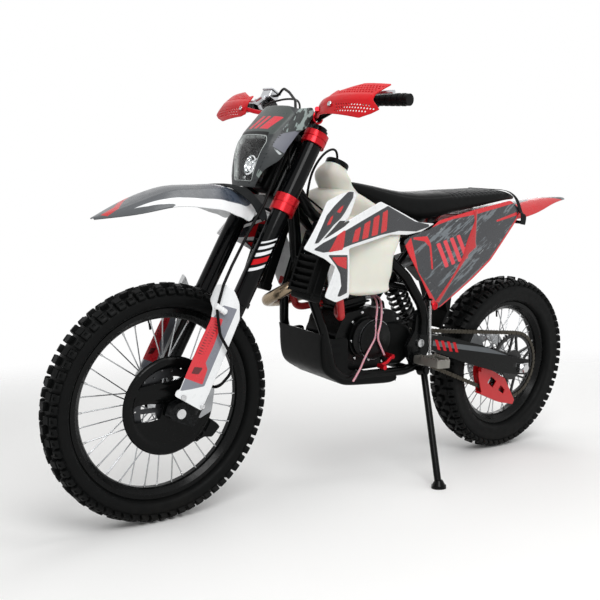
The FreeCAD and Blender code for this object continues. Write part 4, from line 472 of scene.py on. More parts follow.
def splineWeights(knots, queries):  # natural cubic spline, as one matrix from values at knots to values at queries
    t, q = np.asarray(knots, float), np.clip(np.asarray(queries, float), knots[0], knots[-1])
    n, h = len(t), np.diff(t)
    system, right = np.eye(n), np.zeros((n, n))
    for i in range(1, n - 1):
        system[i, i - 1:i + 2] = h[i - 1], 2 * (h[i - 1] + h[i]), h[i]
        right[i, i - 1:i + 2] = 6 / h[i - 1], -6 / h[i - 1] - 6 / h[i], 6 / h[i]
    bend = np.linalg.solve(system, right)
    k = np.clip(np.searchsorted(t, q) - 1, 0, n - 2)
    b = (q - t[k]) / h[k]
    a = 1 - b
    unit = np.eye(n)
    cubic = ((a ** 3 - a) * h[k] ** 2 / 6)[:, None] * bend[k] + ((b ** 3 - b) * h[k] ** 2 / 6)[:, None] * bend[k + 1]
    return a[:, None] * unit[k] + b[:, None] * unit[k + 1] + cubic


def spline(knots, values, queries):  # the smooth line through values at knots, at each query
    return splineWeights(knots, queries) @ np.asarray(values, float)


def splined(table, queries):  # a table's further columns as splines over its first one, each a column of values
    data = np.array(sorted(table), float)
    return (spline(data[:, 0], data[:, k], queries)[:, None] for k in range(1, data.shape[1]))


def distanceInside(points, polygon):  # signed distance to a polygon's outline, positive inside it
    points, a = np.asarray(points, float), np.asarray(polygon, float)
    b = np.roll(a, -1, 0)
    edge = b - a
    away = points[:, None] - a[None]
    along = np.clip((away * edge).sum(-1) / (edge ** 2).sum(-1), 0, 1)
    gap = np.linalg.norm(away - along[..., None] * edge, axis=-1).min(1)
    rising = (a[:, 1] > points[:, None, 1]) != (b[:, 1] > points[:, None, 1])
    cross = a[:, 0] + (points[:, None, 1] - a[:, 1]) * edge[:, 0] / np.where(edge[:, 1] == 0, 1e-9, edge[:, 1])
    odd = (rising & (points[:, None, 0] < cross)).sum(1) % 2 == 1
    return np.where(odd, gap, -gap)


def eased(values):  # the smooth step from 0 to 1
    t = np.clip(values, 0, 1)
    return t * t * (3 - 2 * t)


def crowded(low, high, near, gap, count):  # stations from low to high, close together near both ends
    near = np.array(near)
    return np.concatenate([low + near, np.linspace(low + gap, high - gap, count), high - near[::-1]])


def squared(power, sides=72):  # directions round a superellipse |x|^p + |y|^p = 1
    turn = np.linspace(0, 2 * np.pi, sides, endpoint=False)
    return tuple(np.sign(f(turn)) * np.abs(f(turn)) ** (2 / power) for f in (np.cos, np.sin))


def quarterEase(near, least):  # from least up to 1 on a quarter circle as near goes from 0 to 1
    return least + (1 - least) * np.sqrt(1 - (1 - np.clip(near, 0, 1)) ** 2)


def closingEase(run, length, least=0.6):  # 1 along the middle of a run, falling to least at both its ends
    return quarterEase(np.minimum(run - run[0], run[-1] - run) / length, least)


def roundedOutline(corners, radius, steps=4):  # each corner becomes a quadratic curve that starts one radius before it
    c = np.asarray(corners, float)
    before, after = np.roll(c, 1, 0) - c, np.roll(c, -1, 0) - c
    lengthBefore, lengthAfter = np.linalg.norm(before, axis=1), np.linalg.norm(after, axis=1)
    start = c + before * (np.minimum(radius, 0.45 * lengthBefore) / lengthBefore)[:, None]
    end = c + after * (np.minimum(radius, 0.45 * lengthAfter) / lengthAfter)[:, None]
    t = np.linspace(0, 1, steps + 1)[None, :, None]
    return ((1 - t) ** 2 * start[:, None] + 2 * t * (1 - t) * c[:, None] + t ** 2 * end[:, None]).reshape(-1, 2)


def divided(outline, spacing):  # the outline with points no further apart than the spacing
    following = np.roll(outline, -1, 0)
    counts = np.maximum(np.ceil(np.linalg.norm(following - outline, axis=1) / spacing).astype(int), 1)
    return np.concatenate([a + (b - a) * np.arange(n)[:, None] / n for a, b, n in zip(outline, following, counts)])


def panelPiece(name, outline, surface, material, body, spacing=5.0, radius=8.0, thickness=3.2, holes=(), layers=None,
               relief=(), outward=(0, 1, 0), slot=None, replaces=(), bevel=0.8):
    # A moulded sheet: the outline is filled with points on a grid, joined into triangles, and lifted onto
    # the surface. Relief is (outline, height, width): a step that rises over that width at its edge.
    border = divided(roundedOutline(outline, radius), spacing)
    loops = [border] + [np.asarray(h, float) for h in holes]

    def outsideHoles(spots, keep, gap):  # takes off what lies in a hole or nearer to it than the gap
        for hole in loops[1:]:
            near = (np.abs(spots - hole.mean(0)) < np.ptp(hole, 0) / 2 + spacing * 2).all(1)
            keep[near] &= distanceInside(spots[near], hole) < -gap
        return keep
    low, high = border.min(0), border.max(0)
    gx, gy = np.meshgrid(np.arange(low[0], high[0], spacing), np.arange(low[1], high[1], spacing * 0.87),
                         indexing="ij")
    gx = gx + (np.arange(gx.shape[1]) % 2 * spacing / 2)[None]
    filling = np.stack([gx, gy], -1).reshape(-1, 2)
    filling = filling[outsideHoles(filling, distanceInside(filling, border) > spacing * 0.55, spacing * 0.3)]
    points = np.concatenate(loops + [filling])
    edges, start = [], 0
    for loop in loops:
        k = np.arange(len(loop))
        edges += (np.stack([k, (k + 1) % len(loop)], 1) + start).tolist()
        start += len(loop)
    made = geometry.delaunay_2d_cdt([Vector(p) for p in points.tolist()], edges, [], 1, 1e-4)
    flat = np.array([tuple(v) for v in made[0]])
    faces = np.array(made[2])
    middle = flat[faces].mean(1)
    faces = faces[outsideHoles(middle, distanceInside(middle, border) > 0, 0)]
    solid = surface(flat)
    bump = np.zeros(len(flat))
    for shape, height, width in relief:
        bump = bump + height * eased(0.5 + distanceInside(flat, shape) / width)
    a, b, c = (solid[faces[:, k]] for k in range(3))
    way = np.cross(b - a, c - a)
    if (way @ np.array(outward)).sum() < 0:
        faces = faces[:, ::-1]
        way = -way
    normal = np.zeros_like(solid)
    for k in range(3):
        np.add.at(normal, faces[:, k], way)
    normal /= np.maximum(np.linalg.norm(normal, axis=1), 1e-12)[:, None]
    solid = solid + normal * (bump * mm)[:, None]
    attributes = {key: np.max([distanceInside(flat, p) for p in shapes], 0) for key, shapes in (layers or {}).items()}
    attributes["rim"] = distanceInside(flat, border)
    return walled(newPiece(name, solid, faces, material, body, slot, replaces, attributes), thickness, bevel)


def tubePoints(path, radius, sides=12, away=None):
    # A circle carried along a path: each ring lies across the local direction, its start turned towards "away".
    path = np.asarray(path, float)
    along = np.gradient(path, axis=0)
    along /= np.linalg.norm(along, axis=1)[:, None]
    if away is None:
        away = np.linalg.svd(along)[2][-1]
    first = np.cross(along, away)
    first /= np.linalg.norm(first, axis=1)[:, None]
    second = np.cross(along, first)
    turn = np.linspace(0, 2 * np.pi, sides, endpoint=False)
    radius = np.broadcast_to(np.asarray(radius, float), (len(path),))[:, None, None]
    ring = np.cos(turn)[None, :, None] * first[:, None] + np.sin(turn)[None, :, None] * second[:, None]
    return path[:, None] + radius * ring


def tubePiece(name, paths, radius, sides, material, body, slot, replaces=(), away=None, toFrame=place, ride=True):
    # A closed tube along each path
    points = np.concatenate([toFrame(tubePoints(path, radius, sides, away).reshape(-1, 3)) for path in paths])
    faces = [f[::-1] for f in cappedFaces(len(paths[0]), sides)]
    return outwardNormals(newPiece(name, points, closedBodies(points, faces, len(paths)), material, body, slot,
                                   replaces, ride=ride))


def routePoints(corners, perCorner=8):
    # The smooth line that a quadratic spline with these control points draws: from middle to middle of the runs.
    c = np.asarray(corners, float)
    middles = (c[1:] + c[:-1]) / 2
    starts = np.concatenate([c[:1], middles[1:]])[:len(c) - 2]
    ends = np.concatenate([middles[1:-1], c[-1:]])
    t = np.linspace(0, 1, perCorner, endpoint=False)[None, :, None]
    curve = ((1 - t) ** 2 * starts[:, None] + 2 * t * (1 - t) * c[1:-1, None] + t ** 2 * ends[:, None]).reshape(-1, 3)
    return np.concatenate([curve, c[-1:]])


def turnedBodies(profile, centres, axes, sides, closed=False, across=(0.31, 0.17, 0.93)):
    # A profile of (distance along the axis, radius) turned about each axis through its centre.
    profile, centres, axes = (np.asarray(v, float) for v in (profile, centres, axes))
    axes = axes / np.linalg.norm(axes, axis=1)[:, None]
    first = np.cross(axes, across)
    first /= np.linalg.norm(first, axis=1)[:, None]
    second = np.cross(axes, first)
    turn = np.linspace(0, 2 * np.pi, sides, endpoint=False)
    ring = np.cos(turn)[None, :, None] * first[:, None] + np.sin(turn)[None, :, None] * second[:, None]
    points = (centres[:, None, None] + profile[None, :, 0, None, None] * axes[:, None, None]
              + profile[None, :, 1, None, None] * ring[:, None]).reshape(-1, 3)
    rows = len(profile)
    one = gridFaces(rows, sides, True, True).tolist() if closed else cappedFaces(rows, sides)
    return points, closedBodies(points, one, len(centres))


def turnedPiece(name, profile, centre, axis, material, body, segments=48, toFrame=place, closed=False, **more):
    # One turned body. A closed profile is a ring's section, an open one is capped at both ends.
    points, faces = turnedBodies(profile, [centre], [axis], segments, closed, (0.3, 0.1, 1.0))
    return newPiece(name, toFrame(points), faces, material, body, **more)


def hardwarePiece(name, profile, centres, axes, material, body, sides=12, toFrame=place, slot="steel"):
    points, faces = turnedBodies(profile, centres, axes, sides)
    return outwardNormals(newPiece(name, toFrame(points), faces, material, body, slot, sharp=30))


def stackedPiece(name, rows, material, replaces=(), slot=None, toFrame=place, body="frame"):
    # A closed skin through rings of points
    points = toFrame(np.reshape(rows, (-1, 3)))
    faces = cappedFaces(*np.shape(rows)[:2])
    return outwardNormals(newPiece(name, points, faces, material, body, slot, replaces, sharp=60))


# Cords: the two clear drain hoses that hang from the carburettor
hoses = {
    "diameter": 7,
    "drainHoseFront": [(730, 28, 636), (730, 60, 636), (748, 95, 607), (766, 109, 552), (761, 110, 510),
                       (788, 113, 474), (812, 118, 444), (836, 128, 413), (868, 135, 380)],
    "drainHoseRear": [(712, 28, 636), (712, 62, 636), (730, 96, 604), (742, 110, 556), (764, 119, 512),
                      (742, 118, 478), (724, 117, 450)],
}


def hoseLine(name, route, steps):  # a smooth quadratic spline that the route's points control
    curve = bpy.data.curves.new(name, "CURVE")
    curve.dimensions = "3D"
    curve.resolution_u = steps
    line = curve.splines.new("NURBS")
    line.points.add(len(route) - 1)
    line.points.foreach_set("co", np.concatenate([route, np.ones((len(route), 1))], 1).ravel())
    line.order_u = 3
    line.use_endpoint_u = True
    obj = bpy.data.objects.new(name, curve)
    bpy.context.scene.collection.objects.link(obj)
    return obj


def hosePiece(name, cadNode):
    # A round tube along the spline
    route = place(hoses[name])
    obj = hoseLine(name, route, 12)
    obj.data.bevel_depth = hoses["diameter"] / 2 * mm
    obj.data.bevel_resolution = 4
    obj.data.use_fill_caps = True
    obj.data.materials.append(palette["pinkHose"])
    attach(obj, "frame")
    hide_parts(cadNode)
    # The same spline without its bevel is sampled into points
    probe = hoseLine(name + "Line", route, 24)
    bpy.context.view_layer.update()
    sampled = bpy.data.meshes.new_from_object(probe)
    co = np.zeros(len(sampled.vertices) * 3)
    sampled.vertices.foreach_get("co", co)
    bpy.data.objects.remove(probe)


hosePiece("drainHoseFront", "drain_hose_front")
hosePiece("drainHoseRear", "drain_hose_rear")
print("hoses hang")


# Tyres
tyres = {
    "frontTyre": {"radius": 349.4, "half": 44, "seat": 269, "rimHalf": 25, "pairs": 34},
    "rearTyre": {"radius": 337.1, "half": 52, "seat": 231, "rimHalf": 31, "pairs": 31},
    "knobHeight": 13.5, "share": 0.33, "sink": 3.0, "draft": 1.2, "chamfer": 1.0, "pocket": 2.6,
    "segments": 180,
}


def tyreSection(spec):
    # Profile in (y, radius): bead, sidewall and crown, then the same mirrored. Returns all its points,
    # those between the two bead points, and the chord lengths at which a spline goes through them.
    half, seat, carcass = spec["half"], spec["seat"], spec["radius"] - tyres["knobHeight"]
    bead, wide = spec["rimHalf"] - 4.5, seat + 0.5 * (carcass - seat)
    left = [(-bead, seat + 1.5), (-bead, seat + 11.5), (-half + 4, seat + 22), (-half, wide),
            (-half + 1.5, carcass - 17), (-0.66 * half, carcass - 6), (-0.22 * half, carcass)]
    whole = np.array(left + [(-y, r) for y, r in reversed(left)], float)
    run = whole[1:-1]
    knots = np.concatenate([[0], np.cumsum(np.linalg.norm(np.diff(run, axis=0), axis=1))])
    return whole, run, knots


def onSection(run, knots, where):  # point and outward normal of the profile at arc lengths
    point = spline(knots, run, where)
    along = spline(knots, run, where + 0.5) - spline(knots, run, where - 0.5)
    normal = np.stack([-along[:, 1], along[:, 0]], 1)
    return point, normal / np.linalg.norm(normal, axis=1)[:, None]


def knobBlocks(spec, run, knots, columns, pocketed):
    # Each knob is a stack of rounded rectangles over the profile: wide under the skin, drafted walls, a
    # chamfered top, and on pocketed columns a sunk square. Columns are (turn, low w, high w).
    angles, low, high = np.array(columns, float).T
    mid, halfW = (low + high) / 2, (high - low) / 2
    halfT = np.full_like(mid, np.pi * spec["radius"] / spec["pairs"] * tyres["share"])
    height = tyres["knobHeight"]
    corner = np.radians(np.array([5, 45, 85]))
    unit = np.concatenate([np.stack([np.cos(corner + q * np.pi / 2), np.sin(corner + q * np.pi / 2)], 1)
                           for q in range(4)])
    signs = np.concatenate([np.tile(s, (3, 1)) for s in ((1, 1), (-1, 1), (-1, -1), (1, -1))])
    c = tyres["chamfer"]
    levels = [(tyres["draft"], -tyres["sink"], 1), (0.5, 0.6 * height, 1), (0, height - c, 1), (-c, height, 1)]
    if pocketed:
        levels += [(-c, height, 0.5), (-c - 0.4, height - tyres["pocket"], 0.5)]
    rows = []
    for inset, up, share in levels:
        halfs = np.stack([halfT, halfW], 1)[:, None] * share + inset
        flat = signs[None] * (halfs - 2.5 * share) + unit[None] * 2.5 * share
        where = mid[:, None] + flat[..., 1]
        point, normal = onSection(run, knots, where.ravel())
        lifted = (point + normal * up).reshape(len(mid), 12, 2)
        level = lifted[..., 1] * np.cos(halfT / spec["radius"])[:, None]
        a = angles[:, None]
        x = level * np.cos(a) - flat[..., 0] * np.sin(a)
        z = level * np.sin(a) + flat[..., 0] * np.cos(a)
        rows.append(np.stack([x, lifted[..., 0], z], -1))
    points = np.stack(rows, 1).reshape(-1, 3)
    return points, closedBodies(points, cappedFaces(len(levels), 12), len(mid))


def tyrePiece(name, axle, body, cadNode):
    # The profile turned about the axle, with knobs in staggered rows: shoulders twice a pitch, the middle
    # once, and the inner rows half a pitch later.
    spec = tyres[name]
    whole, run, knots = tyreSection(spec)
    section = np.concatenate([whole[:1], spline(knots, run, np.linspace(0, knots[-1], 64)), whole[-1:]])
    turn = np.linspace(0, 2 * np.pi, tyres["segments"], endpoint=False)
    y, radius = section[:, :1], section[:, 1:]
    ring = np.stack([radius * np.cos(turn), y + 0 * turn, radius * np.sin(turn)], -1).reshape(-1, 3)
    faces = gridFaces(len(section), len(turn), closeRows=True, closeColumns=True).tolist()
    pitch = 2 * np.pi / spec["pairs"]
    base = np.arange(spec["pairs"]) * pitch - np.pi / 2
    shoulders = [(a, knots[i] + 1, knots[i + 1] - 1) for a in np.concatenate([base, base + pitch / 2])
                 for i in (3, 7)]
    others = [(a, knots[5] + 0.5, knots[6] - 0.5) for a in base] + [
        (a, knots[i] + 1.5, knots[i + 1] - 1.5) for a in base + pitch / 2 for i in (4, 6)]
    for columns, pocketed in ((shoulders, True), (others, False)):
        points, more = knobBlocks(spec, run, knots, columns, pocketed)
        faces += [[i + len(ring) for i in f] for f in more]
        ring = np.concatenate([ring, points])
    obj = newPiece(name, place(ring + np.array(axle)), faces, "tyreRubber", body, "tyre", (cadNode,), sharp=35)
    return outwardNormals(obj)


tyrePiece("frontTyre", frontAxle, "front_wheel", "front_tyre")
tyrePiece("rearTyre", rearAxle, "rear_wheel", "rear_tyre")
print("tyres are made")


# Curved side sheets: shrouds and side panels. Stations are (x, y at each level of z); the other lists
# are outlines in (x, z), of the sheet and of its printed areas.
shroudShape = {
    "levels": (640, 760, 880, 1000),
    "stations": [(520, 118, 122, 122, 112), (640, 128, 134, 132, 118), (780, 160, 164, 156, 132),
                 (920, 196, 196, 182, 154), (1060, 214, 222, 212, 182), (1200, 216, 236, 238, 222)],
    "outline": [(1173, 816), (1069, 949), (1000, 972), (940, 982), (926, 972), (968, 912), (1002, 886), (815, 952),
                (705, 916), (624, 888), (545, 884), (608, 858), (680, 848), (775, 850), (860, 834), (981, 812),
                (969, 668), (1024, 654), (1072, 672), (1040, 760), (1087, 786)],
    "dark": [[(1134, 829), (1115, 860), (1079, 909), (1039, 937), (966, 979), (943, 978), (948, 962), (992, 919),
              (1016, 900), (1051, 881), (1117, 832)],
             [(1138, 813), (1097, 832), (964, 876), (783, 939), (730, 920), (646, 891), (572, 881), (574, 873),
              (638, 858), (731, 861), (821, 850), (973, 823), (1047, 807), (1096, 804)],
             [(1076, 797), (989, 794), (981, 681), (1011, 671), (1023, 672), (1010, 703), (1020, 740), (1039, 764)]],
    "red": [[(1075, 804), (1034, 853), (997, 868), (1011, 810)],
            [(1062, 790), (994, 788), (992, 752), (1034, 766)],
            [(952, 866), (922, 877), (938, 834), (969, 829)], [(905, 884), (874, 895), (890, 843), (921, 837)],
            [(858, 902), (828, 912), (843, 851), (874, 846)], [(812, 918), (786, 927), (797, 862), (827, 854)],
            [(1084, 880), (1062, 904), (1046, 912), (1066, 884)], [(1036, 918), (1010, 934), (994, 940), (1016, 916)]],
    "notch": [[(1104, 837), (1020, 894), (966, 894), (1002, 876)]],
}
panelShape = {
    "levels": (580, 700, 840, 980),
    "stations": [(60, 84, 96, 108, 104), (220, 100, 116, 118, 108), (400, 122, 130, 124, 108),
                 (560, 128, 136, 126, 108), (720, 136, 142, 134, 120)],
    "left": [(652, 844), (690, 826), (662, 780), (619, 724), (540, 622), (520, 594), (492, 598), (335, 692),
             (243, 755), (177, 823), (104, 900), (80, 936), (145, 970), (337, 934), (517, 894), (560, 866)],
    "right": [(652, 844), (690, 826), (668, 786), (600, 766), (480, 790), (330, 850), (200, 896), (104, 912),
              (80, 936), (145, 970), (337, 934), (517, 894), (560, 866)],
    "red": [[(653, 838), (577, 842), (559, 816), (546, 731), (555, 733), (567, 807), (590, 825), (638, 831)],
            [(686, 809), (656, 838), (617, 724), (530, 635), (514, 616), (537, 608), (611, 682), (656, 759)],
            [(229, 897), (108, 929), (103, 918), (217, 893)],
            [(560, 869), (517, 898), (337, 938), (145, 974), (120, 962), (337, 917), (450, 900), (517, 882)],
            [(78, 936), (104, 897), (177, 819), (243, 751), (335, 688), (492, 594), (495, 602), (339, 699),
             (249, 761), (183, 828), (111, 904), (90, 938)]],
    "blade": [[(520, 621), (472, 676), (433, 723), (403, 767), (381, 824), (342, 895), (350, 929), (330, 932),
               (336, 823), (330, 805), (365, 784), (400, 745), (449, 688), (501, 615)]],
    # Four leaning bars of the mark, each set off from the first by a step in x and z
    "mark": [[(x - 33 * k, z + 9 * k) for x, z in ((534, 816), (516, 821), (468, 740), (486, 735))] for k in range(4)],
}


def sideSurface(shape, side):  # y is a natural cubic spline of the stations along x and of the levels along z
    xs = [s[0] for s in shape["stations"]]
    ys = np.array([s[1:] for s in shape["stations"]], float)

    def surface(flat):
        y = np.einsum("qi,ij,qj->q", splineWeights(xs, flat[:, 0]), ys, splineWeights(shape["levels"], flat[:, 1]))
        return place(np.stack([flat[:, 0], side * y, flat[:, 1]], 1))
    return surface


# Clear-coated film on smooth moulded sheets: even colour, sharp highlights
palette["shroudPrint"] = finish("white polypropylene with printed film", white, 0.28, grain=4.0, depth=0.03,
                                mottle=0.03, coat=0.15, layers=[("dark", scratched("#202226", "#5d6268")),
                                                                ("red", red), ("notch", "#141416")])
palette["panelPrint"] = finish("grey polypropylene with camouflage film", "#3c3f44", 0.3, grain=3.0, depth=0.03,
                               mottle=0.05, coat=0.2, ground=camouflage,
                               layers=[("mark", "#dd3a46"), ("red", "#cf1420"), ("blade", "#b80f18")])
for side, label in bothSides:
    panelPiece("shroud" + label, shroudShape["outline"], sideSurface(shroudShape, side), "shroudPrint", "frame",
               layers={k: shroudShape[k] for k in ("dark", "red", "notch")}, outward=wayOut(0, side, 0),
               relief=[(shroudShape["dark"][k], 2.0, width) for k, width in ((1, 12), (0, 10), (2, 10))],
               slot="white_plastic", replaces=("shroud_" + label.lower(),))
    panelPiece("sidePanel" + label, panelShape[label.lower()], sideSurface(panelShape, side), "panelPrint", "frame",
               radius=10.0, layers={k: panelShape[k] for k in ("mark", "red", "blade")}, outward=wayOut(0, side, 0),
               relief=[(panelShape["blade"][0], 3.0, 8)], slot="grey_plastic",
               replaces=("side_panel_" + label.lower(),))
print("side panels and shrouds are made")


# Seat: crowned cover with sewn cross ribs on its rear half. Sections are (x, half width, low z, high z)
seatShape = {
    "sections": [(846, 30, 988, 1008), (800, 48, 960, 1004), (720, 66, 925, 994), (610, 78, 892, 983),
                 (520, 90, 892, 984), (400, 98, 916, 993), (250, 102, 946, 1003), (130, 92, 968, 1000),
                 (86, 74, 972, 986)],
    "power": 3.2, "ribPitch": 21, "ribDepth": 3.0, "ribStart": 140, "ribEnd": 430, "seamDepth": 2.2,
    "sideSeam": (150, 760),
}


def seatPiece():
    # Rows across the bike at each x, each a superellipse |y/half|^p + |z/height|^p = 1 about the section's
    # middle, which closes on a quarter circle at both ends. Ribs, cross seams and the side seams are
    # grooves in the form of a bell curve, taken off the top.
    spec = seatShape
    x = crowded(spec["sections"][-1][0], spec["sections"][0][0], [0, 1.5, 4, 8], 12, 250)
    half, low, high = splined(spec["sections"], x)
    across, up = squared(spec["power"], 96)
    shrink = closingEase(x, 14, 0.55)[:, None]
    y = half * shrink * across
    z = (low + high) / 2 + (high - low) / 2 * shrink * up
    top = eased((up - 0.1) / 0.8)[None]
    inRibs = eased((x - spec["ribStart"]) / 14) * eased((spec["ribEnd"] - x) / 14)
    groove = np.exp(-((np.mod(x, spec["ribPitch"]) - spec["ribPitch"] / 2) / 3.0) ** 2)
    z = z - spec["ribDepth"] * (inRibs * groove)[:, None] * top
    ends = np.exp(-((x - spec["ribStart"]) / 2.5) ** 2) + np.exp(-((x - spec["ribEnd"]) / 2.5) ** 2)
    z = z - spec["seamDepth"] * ends[:, None] * top
    side = np.exp(-((np.abs(y) - 0.9 * half) / 2.2) ** 2) * (up > 0.2)
    z = z - spec["seamDepth"] * 0.8 * side * ((x > spec["sideSeam"][0]) & (x < spec["sideSeam"][1]))[:, None]
    points = np.stack([x[:, None] + 0 * y, y, z], -1).reshape(-1, 3)
    cover = newPiece("seatCover", place(points), cappedFaces(*y.shape), "seatVinyl", "frame", "seat_cover", ("seat",),
                     {"ribs": inRibs[:, None] * top * 2 - 1}, sharp=60)
    outwardNormals(cover)


# Coated seat fabric: leather-grained vinyl, slightly rougher where it is ribbed for grip
palette["seatVinyl"] = finish("grained seat vinyl", "#090a0a", 0.52, grain=1.6, depth=0.3, mottle=0.12, specular=0.1,
                              sheen=0.02, layers=[("ribs", "#141516")])
seatPiece()
print("seat is made")


# Mudguards. The front one is in fork coordinates, with a spine of (u, s, half width, drop at the edges);
# the tail's sections are (x, half width, z, crown, drop at the edges)
fenderShape = {
    "spine": [(-30, 639.2, 40, 1), (0, 639.2, 52, 2), (30, 639.2, 60, 4), (60, 639.2, 62, 8), (84, 642, 63, 22),
              (110, 648, 65, 70), (140, 647, 71, 78), (166, 642, 77, 78), (202, 631, 84, 72), (265, 596, 92, 60),
              (350, 541, 100, 46), (421, 460, 88, 26), (488, 376, 12, 4)],
    "power": 2.6, "ridge": 2.5, "coldFrom": 225,
    # Printed areas in (u, |y|), and the stripe that crosses the tip in (u, y)
    "band": [(489, -2), (489, 14), (455, 46), (430, 62), (401, 69), (367, 77), (324, 79), (275, 76), (196, 68),
             (126, 52), (90, 40), (60, 34), (60, -2)],
    "darkEdge": [(489, 8), (430, 60), (405, 79), (376, 90), (348, 95), (366, 104), (405, 102), (450, 78), (489, 30)],
    "redStripe": [(476, 14), (468, 34), (446, 30), (425, -10), (405, -40), (374, -86), (392, -90), (420, -45),
                  (447, 2)],
}
tailShape = {
    "sections": [(330, 88, 926, 8, 26), (200, 98, 950, 10, 34), (60, 92, 966, 14, 36), (-80, 72, 984, 14, 26),
                 (-200, 44, 1002, 8, 12), (-292, 22, 1010, 3, 4)],
    "below": 24,
    "grey": [[(-295, -30), (-295, 30), (-228, 24), (-180, 12), (-120, -2), (-180, -12), (-228, -24)],
             [(150, -60), (150, 60), (60, 46), (-60, 22), (-100, -2), (-60, -22), (60, -46)]],
}


def sheetGrid(name, points, toFrame, material, body, slot, cadNode=None, attributes=None, thickness=3.2):
    # A sheet through rows of points, faces up, whose wall grows down
    faces = gridFaces(*points.shape[:2])
    replaces = (cadNode,) if cadNode else ()
    obj = newPiece(name, toFrame(points.reshape(-1, 3)), faces, material, body, slot, replaces, attributes)
    ways = np.zeros(len(obj.data.polygons) * 3)
    obj.data.polygons.foreach_get("normal", ways)
    if ways.reshape(-1, 3)[:, 2].sum() < 0:
        obj.data.flip_normals()
    return walled(obj, thickness)


def frontFender():
    # Across each row the sheet falls by drop times |share| to the given power, straight down for the bike,
    # and two ridges in the form of a bell curve run along it.
    spec = fenderShape
    u = np.linspace(spec["spine"][0][0], spec["spine"][-1][0], 130)
    level, half, drop = splined(spec["spine"], u)
    share = np.linspace(-1, 1, 61)
    fall = drop * np.abs(share) ** spec["power"]
    lean = math.radians(stance["rake"])
    along = (np.clip((u - 90) / 60, 0, 1) * np.clip((470 - u) / 40, 0, 1))[:, None]
    y = half * share
    ridge = spec["ridge"] * along * np.exp(-((np.abs(y) - 0.52 * half) / 6) ** 2)
    s = level - fall * math.cos(lean) - 0.6 * along + ridge * 0.6
    points = np.stack([u[:, None] - fall * math.sin(lean), y, s], -1)
    plan = np.stack([u[:, None] + 0 * y, y], -1).reshape(-1, 2)
    folded = np.stack([plan[:, 0], np.abs(plan[:, 1])], 1)
    attributes = {key: distanceInside(folded, spec[key]) for key in ("darkEdge", "band")}
    attributes["redStripe"] = distanceInside(plan, spec["redStripe"])
    attributes["cold"] = (spec["coldFrom"] - plan[:, 0]) * 0.02
    sheetGrid("frontFender", points, placeFork, "fenderPrint", "steering", "white_plastic", "front_fender",
              attributes)


def tailFender():
    # Each row is a parabola as high as its crown, whose edges fall by drop times the share to the fourth
    spec = tailShape
    x = np.linspace(spec["sections"][-1][0], spec["sections"][0][0], 140)
    half, z, crown, drop = splined(spec["sections"], x)
    share = np.linspace(-1, 1, 61)
    fall = drop * np.abs(share) ** 4 - crown * (1 - share ** 2)
    y = half * share
    points = np.stack([x[:, None] + 0 * y, y, z - spec["below"] - fall], -1)
    attributes = {"grey": np.max([distanceInside(points[..., :2].reshape(-1, 2), p) for p in spec["grey"]], 0)}
    sheetGrid("rearFender", points, place, "tailPrint", "frame", "red_plastic", "rear_fender", attributes)


def bandPrint(tree):  # graphite grey at the tip that turns slate blue towards the root
    cold = node(tree, "Attribute", attribute_name="cold", attribute_type="GEOMETRY").outputs["Fac"]
    root = node(tree, "MapRange", {0: cold, 1: -0.8, 2: 1.0})
    return paintedOver(tree, linear("#4b4e52"), [(root, linear("#39424f"))])


palette["fenderPrint"] = finish("white polypropylene with printed film", white, 0.3, grain=4.0, depth=0.03,
                                mottle=0.03, coat=0.1, layers=[("band", bandPrint),
                                                               ("darkEdge", scratched("#4a4d50", "#7d8286")),
                                                               ("redStripe", red)])
palette["tailPrint"] = finish("red polypropylene with printed film", red, 0.34, grain=2.0, depth=0.05, mottle=0.05,
                              layers=[("grey", camouflage)])
frontFender()
tailFender()
print("mudguards are made")


# Front plastics, in fork coordinates: leg guards, headlight mask with its lamp, hand guards


def crossedSheet(byWidth, byHeight, side=1):  # u is a spline over the width plus a spline over the height
    def surface(flat):
        y, s = flat.T
        u = spline(*np.array(byWidth, float).T, y) + spline(*np.array(byHeight, float).T, s)
        return placeFork(np.stack([u, side * y, s], 1))
    return surface


legGuardShape = {
    # The section in (u, y) and the outline in (length along the section, s)
    "section": [(10, 141), (70, 141), (98, 129), (110, 109), (110, 83)], "length": 139.5,
    "outline": [(0, 30), (4, 150), (12, 306), (36, 346), (68, 370), (100, 376), (132, 366), (130, 322), (104, 302),
                (95, 270), (96, 200), (92, 92), (90, 60), (98, 53), (97, 38)],
    "grey": [[(79, 320), (35, 328), (27, 95), (88, 56), (92, 142), (92, 272)]],
    "red": [[(100, 276), (63, 285), (55, 210), (55, 155), (41, 140), (35, 97), (100, 93), (100, 204)]],
    "bars": [[(66, z + 4), (89, z), (89, z - 3), (66, z + 1)] for z in range(172, 276, 8)] + [
        [(56, 140), (80, 132), (80, 112), (60, 118)]],
}


def legGuard(label, side):
    # The section's corners are rounded by quadratic curves, and the outline is laid along it: a point's
    # first coordinate is its distance along the section, its second its height.
    corners = np.array(legGuardShape["section"], float)
    t = np.linspace(0, 1, 6)[:, None]
    bent = [(1 - t) ** 2 * (c + (a - c) * 0.3) + 2 * t * (1 - t) * c + t ** 2 * (c + (b - c) * 0.3)
            for a, c, b in zip(corners[:-2], corners[1:-1], corners[2:])]
    bent = np.concatenate([corners[:1], *bent, corners[-1:]])
    run = np.concatenate([[0], np.cumsum(np.linalg.norm(np.diff(bent, axis=0), axis=1))])
    run *= legGuardShape["length"] / run[-1]

    def surface(flat):
        u, y = (np.interp(flat[:, 0], run, bent[:, k]) for k in (0, 1))
        return placeFork(np.stack([u, side * y, flat[:, 1]], 1))
    panelPiece("legGuard" + label, legGuardShape["outline"], surface, "guardPrint", "steering", spacing=4.5,
               radius=7.0, layers={k: legGuardShape[k] for k in ("grey", "red", "bars")},
               outward=wayOut(0.5, side, 0, fork=True), slot="white_plastic", replaces=("fork_guards",))


